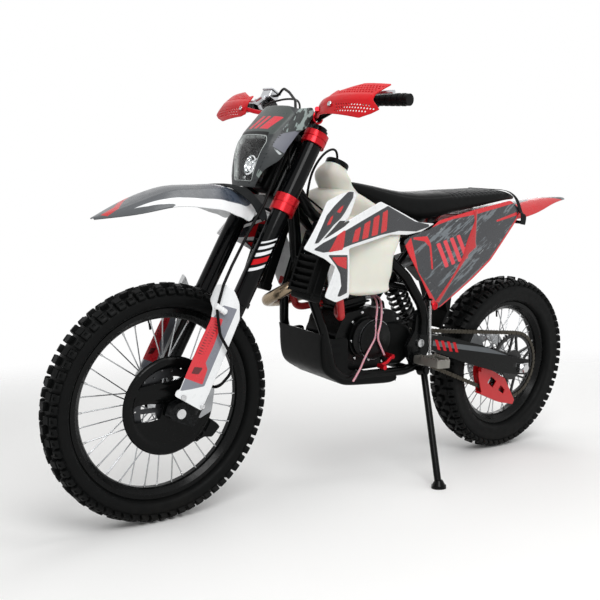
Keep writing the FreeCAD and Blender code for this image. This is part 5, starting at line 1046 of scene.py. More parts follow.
palette["guardPrint"] = finish("white polypropylene with printed film", white, 0.3, grain=4.0, depth=0.03,
                               mottle=0.03, coat=0.1, layers=[("grey", "#7b7e87"), ("red", "#cf2a34"),
                                                              ("bars", "#571419")])
for side, label in bothSides:
    legGuard(label, side)

maskShape = {
    # The sheet's u by its height s, less how far it folds back by y, and the left half's outline in (y, s)
    "front": [(655, 112), (720, 140), (800, 160), (860, 148), (950, 124)],
    "fold": [(0, 0), (40, -2), (70, -8), (84, -17), (96, -36), (108, -60), (120, -86)],
    "half": [(60, 936), (86, 934), (103, 960), (109, 940), (112, 893), (108, 872), (109, 830), (108, 785), (104, 765),
             (94, 742), (58, 670)],
    "lamp": [(64, 820), (75, 800), (45, 686)],
    # Printed areas on both halves, then the numbers, which aren't mirrored, and two marks of painted shade: a dark
    # strip in the gap above the lamp, and the far wing painted near black
    "prints": {
        "plate": [(0, 936), (60, 936), (88, 915), (84, 868), (82, 834), (76, 826), (0, 826)],
        "mid": [(89, 836), (108, 878), (110, 840), (108, 792), (89, 795)],
        "low": [(70, 722), (89, 713), (81, 695), (63, 704)],
        "bars": [(92, 791), (96, 792), (106, 787), (102, 781)],
        "seam": [(87, 925), (90, 925), (92, 836), (88, 780), (74, 716), (62, 690), (60, 690), (71, 716), (86, 780),
                 (89, 836)],
        "wing": [(88, 940), (88, 838), (108, 880), (125, 880), (125, 980), (90, 980)],
    },
    "numbers": [[(-46, 842), (-30, 842), (-6, 892), (-22, 892)], [(-18, 842), (-2, 842), (22, 892), (6, 892)],
                [(10, 842), (50, 842), (74, 892), (34, 892)]],
    # A strip painted near black in the gap between the plate and the lamp is painted shade
    "gap": [[(-66, 832), (66, 832), (66, 816), (-66, 816)]],
    # The far (right) wing painted near black is painted shade
    "farWingShade": [[(-49, 668), (-60, 716), (-77, 780), (-79, 836), (-125, 870), (-125, 656)]],
    # Rings of the lamp's bowl: share of its depth, scale about its centre, how far out it stands, and
    # which of the silver surround and the dark floor shows
    "bowlDepth": 46, "bowlCentre": (0, 752),
    "bowl": [(0.0, 1.0, 1.5, -4), (0.1, 0.97, 0, -0.6), (0.5, 0.9, 0, 1), (0.9, 0.83, 0, 2), (1.0, 0.78, 0, 3),
             (1.02, 0.4, 0, 4), (1.02, 0.05, 0, 5)],
    "lensAxis": (0.98, 0, -0.2), "projectorAt": (104, 0, 742), "lensAt": (108, 0, 741),
    "projector": [(-4, 33), (12, 33), (20, 30), (22, 26), (16, 24), (4, 22), (-4, 22)],
    "lens": [(-2, 21), (6, 20), (13, 15), (17, 8), (18.4, 1)],
    # Reflectors: y, s, width, height, then the u of them all and half their depth
    "reflectors": [(-40, 775, 16, 10), (0, 789, 24, 7), (40, 775, 16, 10), (-27, 706, 14, 8), (27, 706, 14, 8)],
    "reflectorU": 100, "reflectorHalf": 9,
}


def bothHalves(half):  # the left half's outline and the same mirrored
    return list(half) + [(-y, s) for y, s in reversed(half)]


def maskPiece():
    # The sheet's u is a spline over its height plus one over its width that folds its sides back. The bowl
    # is the lamp's opening carried back along the fork's forward direction, ring by ring, as it narrows.
    spec = maskShape
    surface = crossedSheet([(-y, u) for y, u in spec["fold"][:0:-1]] + spec["fold"], spec["front"])
    lamp = divided(roundedOutline(bothHalves(spec["lamp"]), 8), 4.5)
    layers = {key: [half, [(-y, s) for y, s in half]] for key, half in spec["prints"].items()}
    layers |= {key: spec[key] for key in ("numbers", "gap", "farWingShade")}
    forward = wayOut(1, 0, 0, fork=True)
    panelPiece("headlightMask", bothHalves(spec["half"]), surface, "maskPrintAndShade", "steering", spacing=4.5, radius=7.0,
               holes=[lamp], layers=layers, outward=forward, slot="grey_plastic", replaces=("headlight_mask",),
               relief=[(shape, 1.6, 5) for shape in layers["plate"]])
    centre, ahead, count = np.array(spec["bowlCentre"], float), np.array(forward), len(lamp)
    rows = [surface(centre + (lamp - centre) * scale) - ahead * ((deep * spec["bowlDepth"] - out + 1) * mm)
            for deep, scale, out, _ in spec["bowl"]]
    faces = gridFaces(len(rows), count, closeColumns=True).tolist() + [
        [(len(rows) - 1) * count + k for k in range(count)]]
    bowl = newPiece("lampBowl", np.array(rows), faces, "lampSilver", "steering", "lamp", ("headlight",),
                    {"floor": np.repeat([ring[3] for ring in spec["bowl"]], count)})
    walled(bowl, 1.6, 0, 0)
    panelPiece("lampGlass", lamp[::2], lambda flat: surface(flat) - ahead * 1.2 * mm, "lampGlass", "steering",
               spacing=7.0, radius=2.0, thickness=1.5, outward=forward, slot="lamp", bevel=0)
    turnedPiece("lampProjector", spec["projector"], spec["projectorAt"], spec["lensAxis"], "chromePlastic",
                "steering", toFrame=placeFork, closed=True, slot="lamp")
    turnedPiece("lampLens", spec["lens"], spec["lensAt"], spec["lensAxis"], "lampGlass", "steering", segments=40,
                toFrame=placeFork, slot="lamp")
    corners = np.array([(a, b, c) for a in (-1, 1) for b in (-1, 1) for c in (-1, 1)], float)
    points = np.concatenate([np.array([spec["reflectorU"], y, s])
                             + corners * np.array([spec["reflectorHalf"], wide / 2, tall / 2])
                             for y, s, wide, tall in spec["reflectors"]])
    block = [[0, 1, 3, 2], [4, 6, 7, 5], [0, 4, 5, 1], [2, 3, 7, 6], [0, 2, 6, 4], [1, 5, 7, 3]]
    trim = newPiece("lampReflectors", placeFork(points), closedBodies(points, block, len(spec["reflectors"])),
                    "chromePlastic", "steering", "lamp")
    edge = trim.modifiers.new("edge", "BEVEL")
    edge.width, edge.segments = 2 * mm, 3


# The printed film, with two marks of painted shade over it: the far wing and the gap above the lamp, both painted near
# black
palette["maskPrintAndShade"] = finish("graphite polypropylene with printed film and painted shade", "#3a3d3e", 0.32, grain=3.0, depth=0.03,
                              mottle=0.04, specular=0.22, layers=[("wing", wingPrint), ("plate", "#4b514f"),
                                                                  ("farWingShade", "#121314"), ("numbers", "#d8414c"),
                                                                  ("mid", "#6a6c75"), ("bars", "#b4babb"),
                                                                  ("low", "#858f8b"), ("seam", "#1b1d1e"),
                                                                  ("gap", "#0f1011")])
# Vacuum-coated reflector plastic, matt silver on the surround and dark behind the lens
palette["lampSilver"] = finish("aluminised reflector plastic", "#b9bfbd", 0.3, metallic=0.35, grain=3.0, depth=0.02,
                               mottle=0.05, layers=[("floor", "#0c0e0f")])
# Chromed plastic mirrors; the lens is clear and its sheet barely bends what lies behind it
palette["chromePlastic"] = finish("chromed plastic", "#dfe2e3", 0.12, metallic=1.0, grain=3.0, depth=0.01,
                                  mottle=0.03)
palette["lampGlass"] = finish("clear polycarbonate", "#ffffff", 0.04, transmission=1.0, ior=1.2, grain=5.0, depth=0.0,
                              mottle=0.0, specular=0.3, roughSpread=0.01)
maskPiece()

handShape = {
    # The sheet's u by its width y, and how it curls back by its height s; the rest are outlines in (y, s)
    "front": [(110, 60), (160, 92), (240, 108), (330, 104), (430, 84)],
    "back": [(890, -26), (925, -9), (962, 0), (1000, -12), (1040, -34)],
    "left": [(128, 958), (196, 976), (214, 1001), (228, 995), (300, 1026), (392, 1028), (378, 984), (382, 962),
             (412, 938), (386, 925), (346, 912), (228, 922), (132, 928)],
    "right": [(204, 974), (214, 1001), (228, 995), (300, 1026), (389, 1026), (376, 984), (380, 962), (408, 938),
              (386, 925), (346, 912), (228, 922), (204, 930)],
    "upperMesh": [(226, 980), (232, 990), (300, 1021), (384, 1023), (371, 984), (300, 979)],
    "lowerMesh": [(250, 950), (374, 954), (404, 938), (384, 929), (346, 917), (236, 927)],
    "ridge": [(140, 970), (240, 976), (372, 980), (376, 956), (240, 952), (140, 948)],
    "holePitch": 10.5, "holeHalf": 3.1, "holeY": (230, 400), "holeS": (912, 1030),
    "band": [(-9, 14.4), (-9, 18), (-8, 19.3), (8, 19.3), (9, 18), (9, 14.4)], "bandAt": (36, 85, 948),
    "armRadius": 7,
    "arms": {"Left": [(36, 84, 948), (62, 120, 944), (90, 150, 944)],
             "Right": [(36, 84, 948), (66, 120, 946), (82, 180, 948), (108, 226, 948)]},
}


def handGuard(label, side):
    # Diamond holes stand in staggered rows inside the two wings, each clear of the wing's border. The arm
    # is a tube along a spline through its points.
    spec = handShape
    pitch, half = spec["holePitch"], spec["holeHalf"]
    gy, gs = np.meshgrid(np.arange(*spec["holeY"], pitch), np.arange(*spec["holeS"], pitch * 0.8), indexing="ij")
    gy = gy + (np.arange(gs.shape[1]) % 2 * pitch / 2)[None]
    spots = np.stack([gy, gs], -1).reshape(-1, 2)
    inside = np.max([distanceInside(spots, spec[key]) for key in ("upperMesh", "lowerMesh")], 0) > half
    diamond = np.array([(1.25, 0), (0, 1), (-1.25, 0), (0, -1)]) * half
    panelPiece("handGuard" + label, spec[label.lower()], crossedSheet(spec["front"], spec["back"], side), "guardRed",
               "steering", spacing=4.5, radius=5.0, holes=[spot + diamond for spot in spots[inside]],
               outward=wayOut(1, 0, 0, fork=True), slot="red_plastic", bevel=0.6, replaces=("hand_guards",),
               relief=[(spec["ridge"], 2.0, 6)])
    path = np.array(spec["arms"][label], float) * (1, side, 1)
    path = spline(np.arange(len(path)), path, np.linspace(0, len(path) - 1, 30))
    tubePiece("guardArm" + label, [path], spec["armRadius"], 20, "redAnodised", "steering", "red_plastic",
              toFrame=placeFork)
    turnedPiece("guardBand" + label, spec["band"], np.array(spec["bandAt"]) * (1, side, 1), (0, 1, 0), "redAnodised",
                "steering", toFrame=placeFork, closed=True, slot="red_plastic")


# Unfilled polypropylene in a brighter red than the mudguard's, from a smooth mould
palette["guardRed"] = finish("bright red polypropylene", "#cc0d18", 0.34, grain=2.0, depth=0.05, mottle=0.05,
                             specular=0.25)
for side, label in bothSides:
    handGuard(label, side)
print("front plastics are made")


# Chain: outer and inner links on their pins, round both sprockets
chainShape = {
    "pitch": 15.875, "big": 126.41, "small": 35.67, "front": (626, 482), "y": 68, "plateTall": 7.4, "waist": 5.2,
    "outer": (5.5, 7.0), "inner": (3.7, 5.2), "clear": 11,
    # Rollers and pins: radius, reach to each side, sides
    "barrels": [(5.0, 3.7, 14), (2.4, 7.8, 10)],
}


def chainPath(lengths):
    # Points at lengths in links along the loop, and the number of links: an arc on the big sprocket, a
    # straight run, an arc on the small one, and a straight run back.
    spec = chainShape
    big, small = spec["big"], spec["small"]
    rear, front = np.array([0, rearAxle[2]], float), np.array(spec["front"], float)
    away = front - rear
    tilt, wrap = math.atan2(away[1], away[0]), math.acos((big - small) / np.linalg.norm(away))
    straight = math.sqrt(away @ away - (big - small) ** 2)
    bigArc, smallArc = big * (2 * math.pi - 2 * wrap), small * 2 * wrap
    total = bigArc + smallArc + 2 * straight
    links = round(total / spec["pitch"] / 2) * 2
    w = np.asarray(lengths, float) * total / links % total
    turned = np.stack([tilt + wrap + w / big, np.full_like(w, tilt - wrap),
                       tilt - wrap + (w - bigArc - straight) / small, np.full_like(w, tilt + wrap)])
    part = np.searchsorted([bigArc, bigArc + straight, bigArc + straight + smallArc], w, side="right")
    angle = turned[part, np.arange(len(w))]
    out = np.stack([np.cos(angle), np.sin(angle)], 1)
    along = np.stack([-out[:, 1], out[:, 0]], 1)
    centre = np.where((part < 2)[:, None], rear, front)
    radius = np.where(part < 2, big, small)
    run = np.select([part == 1, part == 3], [w - bigArc, w - bigArc - straight - smallArc], 0.0)
    start = np.where((part == 3)[:, None], front + small * out, centre + radius[:, None] * out)
    return start + along * run[:, None], links


def chainPiece():
    # Each plate is a figure of eight: an arc round each pin, drawn in to the waist between them
    spec = chainShape
    links = chainPath([0.0])[1]
    pins = chainPath(np.arange(links))[0]
    ends = np.roll(pins, -1, 0)
    middle, along = (pins + ends) / 2, ends - pins
    length = np.linalg.norm(along, axis=1)[:, None]
    along = along / length
    across = np.stack([-along[:, 1], along[:, 0]], 1)
    turn = np.radians(np.linspace(-112, 112, 9))
    cap = np.stack([np.cos(turn), np.sin(turn)], 1) * spec["plateTall"]
    half = cap + (spec["pitch"] / 2, 0)
    outline = np.concatenate([half, [(0, spec["waist"])], half * (-1, -1), [(0, -spec["waist"])]])
    shape = middle[:, None] + outline[None, :, :1] * along[:, None] + outline[None, :, 1:] * across[:, None]
    inside = (np.arange(links) % 2 == 1)[:, None]
    # On the big sprocket the teeth fill the links, so the rollers and pins stop there
    kept = pins[np.hypot(pins[:, 0], pins[:, 1] - rearAxle[2]) > spec["big"] + spec["clear"]]
    bodies = []
    for side in (-1, 1):
        pair = [np.where(inside, spec["inner"][k], spec["outer"][k]) * side + spec["y"] for k in (0, 1)]
        bodies.append((shape, pair))
    for radius, reach, sides in spec["barrels"]:
        turn = np.linspace(0, 2 * np.pi, sides, endpoint=False)
        ring = kept[:, None] + radius * np.stack([np.cos(turn), np.sin(turn)], 1)[None]
        bodies.append((ring, [spec["y"] - reach, spec["y"] + reach]))
    points, faces, start = [], [], 0
    for section, levels in bodies:  # each section in (x, z) is drawn out between two values of y
        x, z = section[..., 0], section[..., 1]
        body = np.stack([np.stack([x, y + 0 * x, z], -1) for y in levels], 1).reshape(-1, 3)
        made = closedBodies(body, cappedFaces(2, section.shape[1]), len(section))
        faces += [[i + start for i in f] for f in made]
        points.append(body)
        start += len(body)
    obj = newPiece("driveChain", place(np.concatenate(points)), faces, "chainSteel", "frame", "steel", ("chain",),
                   sharp=30)
    outwardNormals(obj)
    print("the chain has", links, "links")


chainPiece()


# Throttle cable and stand spring, each running between the two bodies it joins
crossings = {
    "cableRadius": 3.2,
    "cableFork": [(26, -243, 996), (44, -205, 990), (54, -160, 1000), (54, -80, 1010), (54, -10, 1000), (62, 38, 935),
                  (62, 46, 870), (46, 48, 810), (6, 50, 765), (-40, 56, 740)],
    "cableFrame": [(985, 50, 928), (900, 40, 874), (820, 18, 848), (760, 2, 812), (738.5, 0, 771.4)],
    "springHook": (556, 142, 631), "springTab": (531, 141, 390), "wire": 1.15,
    "coilFrom": 20, "coilTo": 196, "coilRadius": 4.3, "coilPitch": 3.0,
}


def throttleCable():  # a tube along the smooth line that the route's corners control
    corners = np.concatenate([forked(crossings["cableFork"]), np.array(crossings["cableFrame"], float)])
    cable = tubePiece("throttleCable", [routePoints(corners, 10)], crossings["cableRadius"], 12, "softRubber",
                      "frame", "rubber", ("throttle_cable",), ride=False)
    place(crossings["cableFrame"][1])
    placeFork(crossings["cableFork"][7])
    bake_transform(cable)


def standSpring():
    # A helix between the two hooks: radius r, one turn per pitch, the wire's ends drawn straight to the pins.
    spec = crossings
    top, low = np.array(spec["springHook"], float), np.array(spec["springTab"], float)
    length = np.linalg.norm(low - top)
    way = (low - top) / length
    first = np.cross(way, (0, 1, 0))
    first /= np.linalg.norm(first)
    second = np.cross(way, first)
    turns = (spec["coilTo"] - spec["coilFrom"]) / spec["coilPitch"]
    t = np.linspace(0, 1, int(turns * 14))
    angle = 2 * np.pi * turns * t
    swell = spec["coilRadius"] * np.clip(np.minimum(t, 1 - t) * turns / 0.7, 0, 1)
    along = spec["coilFrom"] + t * (spec["coilTo"] - spec["coilFrom"])
    circle = np.cos(angle)[:, None] * first + np.sin(angle)[:, None] * second
    helix = top + along[:, None] * way + swell[:, None] * circle
    path = np.concatenate([[top, top + way * spec["coilFrom"] * 0.5], helix, [low - way * 20, low - way * 8, low]])
    spring = tubePiece("standSpring", [path], spec["wire"], 6, "brightSteel", "frame", "steel", ("stand_spring",),
                       away=second, ride=False)
    place(top)
    place(low)
    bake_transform(spring)


throttleCable()
standSpring()
print("cable and spring are made")


# Small hardware: spoke nipples, tyre valves and bolt heads, many closed bodies to a piece
spokeShape = {
    "front": {"axle": frontAxle, "headRadius": 29, "headY": 34, "tipRadius": 254, "tipY": 3.0, "body": "front_wheel"},
    "rear": {"axle": rearAxle, "headRadius": 43, "headY": 38, "tipRadius": 216, "tipY": 3.7, "body": "rear_wheel"},
    "nipple": [(-15, 2.4), (-14, 3.1), (0, 3.1), (2, 3.8), (8, 3.8)],
    "valve": [(-34, 2.6), (-33, 3.4), (-14, 3.4), (-13, 4.4), (-6, 4.4), (-6, 3.2), (6, 3.2)],
}
for name in ("front", "rear"):
    # Spokes leave the hub every 20 degrees on each side and reach the rim 60 degrees on or back by turns
    spec = spokeShape[name]
    axle, k = np.array(spec["axle"]), np.arange(18)
    centres, axes = [], []
    for side, _ in bothSides:
        head = np.radians(20.0 * k + (0 if side > 0 else 10))
        tip = head + np.radians(np.where(k % 2 == 0, 60, -60))
        a, b = (np.stack([radius * np.cos(turn), np.full(18, side * y), radius * np.sin(turn)], 1)
                for radius, y, turn in ((spec["headRadius"], spec["headY"], head),
                                        (spec["tipRadius"], spec["tipY"], tip)))
        centres.append(b + axle)
        axes.append(b - a)
    hardwarePiece(name + "Nipples", spokeShape["nipple"], np.concatenate(centres), np.concatenate(axes),
                  "brightSteel", spec["body"], 8)
    up = np.array([math.cos(math.radians(80)), 0, math.sin(math.radians(80))])
    hardwarePiece(name + "Valve", spokeShape["valve"], [axle + up * spec["tipRadius"]], [up], "softRubber",
                  spec["body"], 16)


def onSurface(nodeName, origins, direction):  # the places where rays in upright millimetres first meet a CAD node
    obj = nodes[nodeName]
    inverse = obj.matrix_world.inverted()
    way = inverse.to_3x3() @ wayOut(*direction)
    found = []
    for origin in place(origins):
        hit, point, _, _ = obj.ray_cast(inverse @ Vector(origin), way.normalized())
        if hit:
            back = leanTurn.inverted() @ (obj.matrix_world @ point - shift)
            found.append(tuple(np.array(back) / mm))
    return found


# Profiles of bolt heads with a hollow hexagon's place, as (distance along the axis, radius)
boltHead = [(-4, 4.2), (0, 4.2), (0, 7.2), (1, 7.6), (4.2, 7.6), (5.4, 6.6), (5.6, 3.4), (3.2, 3.2), (3.0, 0.4)]
smallHead = [(-4, 3), (0, 3), (0, 5.0), (3, 5.0), (4, 4.2), (4.2, 2.4), (2.6, 2.2), (2.4, 0.3)]
bolts = {  # (x, z) on each CAD node, tried from both sides
    "engine_case": [(838, 560), (800, 590), (848, 500), (712, 585), (652, 590), (700, 420), (640, 560), (760, 430),
                    (820, 440), (690, 540), (610, 540)],
    "cylinder_head": [(850, 640), (860, 690), (800, 700), (830, 730)],
    "radiators": [(1044, 690), (1040, 820)],
}
# Red boss and screw at the left side panel's lower corner
hardwarePiece("panelBoss", [(-6, 14), (2, 14), (4, 12), (4, 7), (2, 6), (2, 0.5)], [(518, 129, 605)], [(0, 1, 0)],
              "redAnodised", "frame", sides=32, slot="red_plastic")
# White two-barrel clamp that holds the brake hose to the left leg guard
hardwarePiece("hoseClamp", [(-20, 7), (-18, 9), (-3, 9), (-1, 7.5), (1, 7.5), (3, 9), (18, 9), (20, 7)],
              [(98, 146, 306)], [(1, 0, 0.1)], "glossWhite", "steering", sides=28, toFrame=placeFork,
              slot="white_plastic")
for nodeName, spots in bolts.items():
    for side, label in bothSides:
        seats = onSurface(nodeName, [(x, side * 320, z) for x, z in spots], (0, -side, 0))
        if seats:
            hardwarePiece(nodeName.split("_")[0] + "Bolts" + label, smallHead, seats, [(0, side, 0)] * len(seats),
                          "brightSteel", "frame")
for side, label in bothSides:
    hardwarePiece("forkBolts" + label, boltHead, [(81, side * 138, 44), (15, side * 141, 42)],
                  [(0.35, side, 0), (0, side, 0)], "brightSteel", "steering", toFrame=placeFork)
    hardwarePiece("guardBolt" + label, boltHead, [(107, side * 226, 946)], [(1, 0, 0)], "brightSteel", "steering",
                  toFrame=placeFork)
print("hardware is made")


# Fuel tank, its cap and breather, and the pale wings behind the radiators
tankShape = {
    # The body's sections are (x, half width, low z, high z), and a lobe's (z, rear x, front x, inner y, outer y)
    "sections": [(966, 54, 884, 962), (940, 78, 862, 978), (890, 90, 850, 986), (852, 92, 848, 982),
                 (800, 92, 852, 962), (720, 84, 856, 926), (640, 66, 860, 892)],
    "lobe": [(655, 800, 880, 110, 134), (662, 764, 912, 102, 146), (680, 746, 930, 98, 151), (720, 742, 940, 96, 154),
             (780, 738, 946, 94, 156), (850, 700, 956, 66, 142), (900, 700, 960, 40, 104)],
    # Rings of the filler neck: middle x and z, radius, and how far the ring leans back in degrees
    "neck": [(838, 918, 62, 0), (850, 950, 60, 0), (870, 978, 57, 2), (888, 1000, 55, 6), (893, 1020, 54, 12),
             (889, 1036, 46, 20), (886, 1044, 40, 24), (884, 1052, 35, 24)],
    "cap": [(0, 36), (1, 38), (14, 38), (17, 36), (18, 31), (18, 18), (22, 16), (22, 0.5)],
    "breather": [(880, 0, 1062), (880, 2, 1092), (905, 10, 1108), (950, 22, 1092), (990, 30, 1052), (1012, 32, 1004),
                 (1014, 28, 950)],
    "power": 3.4, "lobePower": 4.5, "neckPower": 2.5, "capAt": (883, 0, 1051), "capLean": 24,
    # The wing's outline in (x, z), y at its low corner, how y grows with x, and its bulge over its height
    "wing": [(1022, 758), (990, 874), (955, 792), (893, 643), (983, 655)],
    "wingCorner": (893, 643), "wingY": 96, "wingFlare": 0.42, "wingBulge": 6, "wingTall": 230,
}
housingShape = {"u": 52, "halfU": 22, "halfY": 37, "low": 690, "high": 870, "power": 4}


def fuelTank():
    # The body has superellipses across the bike at each x, the lobes and the neck level ones at each z,
    # and all close on a quarter circle or a small last ring
    spec = tankShape
    x = crowded(spec["sections"][-1][0], spec["sections"][0][0], [0, 1, 3, 6], 10, 60)
    half, low, high = splined(spec["sections"], x)
    across, up = squared(spec["power"])
    ease = closingEase(x, 22)[:, None]
    rows = np.stack([x[:, None] + 0 * across, half * ease * across, (low + high) / 2 + (high - low) / 2 * ease * up],
                    -1)
    stackedPiece("tankBody", rows, "naturalPolyethylene", ("fuel_tank",), "tank_plastic")
    low, high = spec["lobe"][0][0], spec["lobe"][-1][0]
    z = np.concatenate([[low, low + 1, low + 3], np.linspace(low + 6, high - 4, 56), [high]])
    x0, x1, y0, y1 = splined(spec["lobe"], z)
    across, up = squared(spec["lobePower"])
    ease = quarterEase((z - z[0]) / 12, 0.75)[:, None]
    for side, label in bothSides:
        rows = np.stack([(x0 + x1) / 2 + (x1 - x0) / 2 * ease * across,
                         side * ((y0 + y1) / 2 + (y1 - y0) / 2 * ease * up), z[:, None] + 0 * across], -1)
        stackedPiece("tankLobe" + label, rows, "naturalPolyethylene", slot="tank_plastic")
    rings = len(spec["neck"])
    cx, cz, radius, lean = splined([(k, *ring) for k, ring in enumerate(spec["neck"])], np.linspace(0, rings - 1, 60))
    lean = np.radians(lean)
    across, up = squared(spec["neckPower"])
    rows = np.stack([cx + radius * across * np.cos(lean), radius * up * 1.02, cz + radius * across * np.sin(lean)],
                    -1)
    stackedPiece("tankNeck", rows, "naturalPolyethylene", slot="tank_plastic")
    capLean = math.radians(spec["capLean"])
    outwardNormals(turnedPiece("tankCap", spec["cap"], spec["capAt"], (-math.sin(capLean), 0, math.cos(capLean)),
                               "mouldedBlack", "frame", segments=64, replaces=("fuel_cap",), slot="black_plastic"))
    tubePiece("capBreather", [routePoints(spec["breather"], 12)], 3.8, 14, "softRubber", "frame", "rubber")


def innerWing(label, side):
    # y grows by flare times the way forward, and bulges by half a sine wave over the sheet's height
    spec = tankShape
    rear, low = spec["wingCorner"]

    def surface(flat):
        bulge = spec["wingBulge"] * np.sin((flat[:, 1] - low) / spec["wingTall"] * np.pi)
        y = spec["wingY"] + (flat[:, 0] - rear) * spec["wingFlare"] + bulge
        return place(np.stack([flat[:, 0], side * y, flat[:, 1]], 1))
    panelPiece("innerWing" + label, spec["wing"], surface, "glossWhite", "frame", spacing=7.0, radius=9.0,
               outward=wayOut(0, side, 0), slot="white_plastic")


def lampHousing():  # the black box of wiring behind the lamp: level superellipses, closed at both ends
    spec = housingShape
    s = crowded(spec["low"], spec["high"], [0, 1, 4], 8, 24)
    across, up = squared(spec["power"])
    ease = closingEase(s, 8)[:, None]
    rows = np.stack([spec["u"] + spec["halfU"] * ease * across, spec["halfY"] * ease * up, s[:, None] + 0 * up], -1)
    stackedPiece("lampHousing", rows, "mouldedBlack", slot="black_plastic", toFrame=placeFork, body="steering")


fuelTank()
lampHousing()
for side, label in bothSides:
    innerWing(label, side)
print("the tank is made")


# Brake disc guard: a dished disc with a raised rim, two windows and a tail, in millimetres about the front axle
discGuardShape = {
    "centre": (8, 10), "radius": 143, "y": 74, "axleHole": 17,
    # Where the rim starts to stand out, and where it turns in again: radius, width, height
    "rimOut": (110, 9, 5), "rimIn": (135, 9, 10), "rimEnd": 146, "tailBorder": 8,
    "tail": [(-147, -59), (-159, -73), (-133, -100), (-107, -96), (-81, -106)],
    "windows": [[(100, 72), (84, 97), (51, 114), (13, 120), (-52, 112), (-40, 97), (-13, 84), (55, 78)],
                [(120, 13), (110, 22), (72, 23), (26, 17), (37, -24), (70, -28), (113, -26)]],
    "band": [(112, 66), (-20, 72), (-60, 100), (-100, 40), (20, 26), (112, 32)],
}


def discGuardPiece():
    # y goes out by a smooth step where the rim starts and in again by another one at its end, and the
    # tail's border stays low
    spec = discGuardShape
    centre = np.array(spec["centre"], float)
    turn = np.radians(np.arange(-98, 205, 6.0))
    outline = np.concatenate([centre + spec["radius"] * np.stack([np.cos(turn), np.sin(turn)], 1), spec["tail"]])
    turn = np.linspace(0, 6.1, 24)
    holes = [divided(roundedOutline(window, 6), 5) for window in spec["windows"]]
    holes.append(spec["axleHole"] * np.stack([np.cos(turn), np.sin(turn)], 1))

    def surface(flat):
        away = np.linalg.norm(flat - centre, axis=1)
        out, back = (height * eased((away - start) / width) for start, width, height in (spec["rimOut"],
                                                                                         spec["rimIn"]))
        y = spec["y"] + out - back * (away < spec["rimEnd"])
        y = np.where(distanceInside(flat, outline[-7:]) > -spec["tailBorder"], np.minimum(y, spec["y"] + 1), y)
        return place(np.stack([flat[:, 0] + frontAxle[0], y, flat[:, 1] + frontAxle[2]], 1))
    panelPiece("discGuard", outline, surface, "glossBlack", "steering", spacing=4.5, radius=4.0, holes=holes,
               outward=wayOut(0, 1, 0), slot="black_plastic", replaces=("disc_guard",),
               relief=[(spec["band"], 4.0, 9)])


discGuardPiece()

# Strap over the mudguard's root, in fork coordinates: two edges that the sheet spans
strapEdges = {
    "rear": [(222, -44, 616), (188, -20, 640), (158, 0, 656), (143, 30, 659), (125, 55, 659), (103, 75, 647),
             (72, 88, 631), (52, 97, 606)],
    "front": [(232, -30, 607), (200, -10, 628), (175, 15, 640), (163, 38, 640), (140, 58, 633), (108, 76, 622),
              (84, 88, 604), (62, 96, 590)],
}


def fenderStrap():  # straight between the two edges, and raised by half a sine wave across
    t = np.linspace(0, 7, 70)
    rear, front = (spline(np.arange(8), strapEdges[key], t)[:, None] for key in ("rear", "front"))
    w = np.linspace(0, 1, 9)[None, :, None]
    rows = rear * (1 - w) + front * w
    rows[..., 2] += 2.5 * np.sin(np.pi * w[..., 0])
    sheetGrid("fenderStrap", rows, placeFork, "webbing", "steering", "black_plastic", thickness=3.0)


fenderStrap()
print("guard and strap are made")


# Skid plate: two side walls and the wrapped front and floor, ruled between an outer and an inner edge in (x, z)
skidShape = {
    "outer": [(990, 535), (988, 500), (982, 455), (970, 418), (944, 394), (908, 374), (872, 361), (780, 354),
              (690, 350), (668, 356)],
    "inner": [(984, 533), (962, 523), (930, 518), (889, 515), (884, 470), (878, 440), (871, 414), (780, 402),
              (676, 389), (666, 364)],
    # Each slot is (rear x, front x, middle z, half height); the sheet is not cut there, and the slot is painted dark as
    # shade
    "half": 117, "corner": 12, "shadedSlots": [(915, 957, 497, 5.5), (907, 957, 469, 5.5)],
}
# Covers: profiles as (distance along the axis, radius), the sprocket cover's outline in (x, z), and the
# left coolant hose's route
coverShape = {
    "ignition": [(0, 66), (26, 66), (31, 64), (33, 60), (33, 46), (35, 43), (35, 0.5)], "ignitionAt": (757, 76, 501),
    "rim": [(0, 64.5), (0, 66.6), (2, 66.6), (2, 64.5)], "rimAt": (757, 100, 501),
    "sprocketY": 80,
    "sprocket": [(694, 548), (640, 552), (586, 530), (562, 486), (572, 432), (618, 402), (690, 404), (712, 440)],
    "hoseRadius": 12,
    "hose": [(985, 128, 676), (956, 127, 668), (936, 125, 645), (928, 123, 608), (921, 119, 588), (912, 98, 586),
             (898, 68, 597), (868, 40, 606)],
}


def skidPlate():
    # Across each row: the inner edge up to the corner, a quarter circle round it, the floor to the middle,
    # and the same mirrored
    spec = skidShape
    t = np.linspace(0, 9, 80)
    outer, inner = (spline(np.arange(10), spec[key], t) for key in ("outer", "inner"))
    turn = np.radians(np.linspace(0, 90, 7))
    reach = np.linalg.norm(inner - outer, axis=1)[:, None]
    bend = np.minimum(spec["corner"], reach * 0.5)
    unit = ((inner - outer) / reach)[:, None]
    share = np.linspace(1, 0, 14)
    upTo = np.concatenate([bend + (reach - bend) * share, bend * (1 - np.sin(turn)), np.zeros((80, 8))], 1)
    flat = outer[:, None] + unit * upTo[..., None]
    y = np.concatenate([np.full((80, 14), float(spec["half"])), spec["half"] - bend * (1 - np.cos(turn)),
                        np.linspace(1, 0, 9)[1:] * (spec["half"] - bend)], 1)
    y, flat = np.concatenate([y, -y[:, -2::-1]], 1), np.concatenate([flat, flat[:, -2::-1]], 1)
    x, z = flat[..., 0], flat[..., 1]
    # Where the two slot openings get their painted shade
    slot = np.max([np.minimum(np.minimum(x - rear, front - x), half - np.abs(z - level))
                   for rear, front, level, half in spec["shadedSlots"]], 0)
    plate = sheetGrid("skidPlate", np.stack([x, y, z], -1), place, "skidPlastic", "frame", "black_plastic",
                      "skid_plate", {"slot": slot}, thickness=4.0)
    plate.data.flip_normals()  # outward is down here, so the wall grows inwards


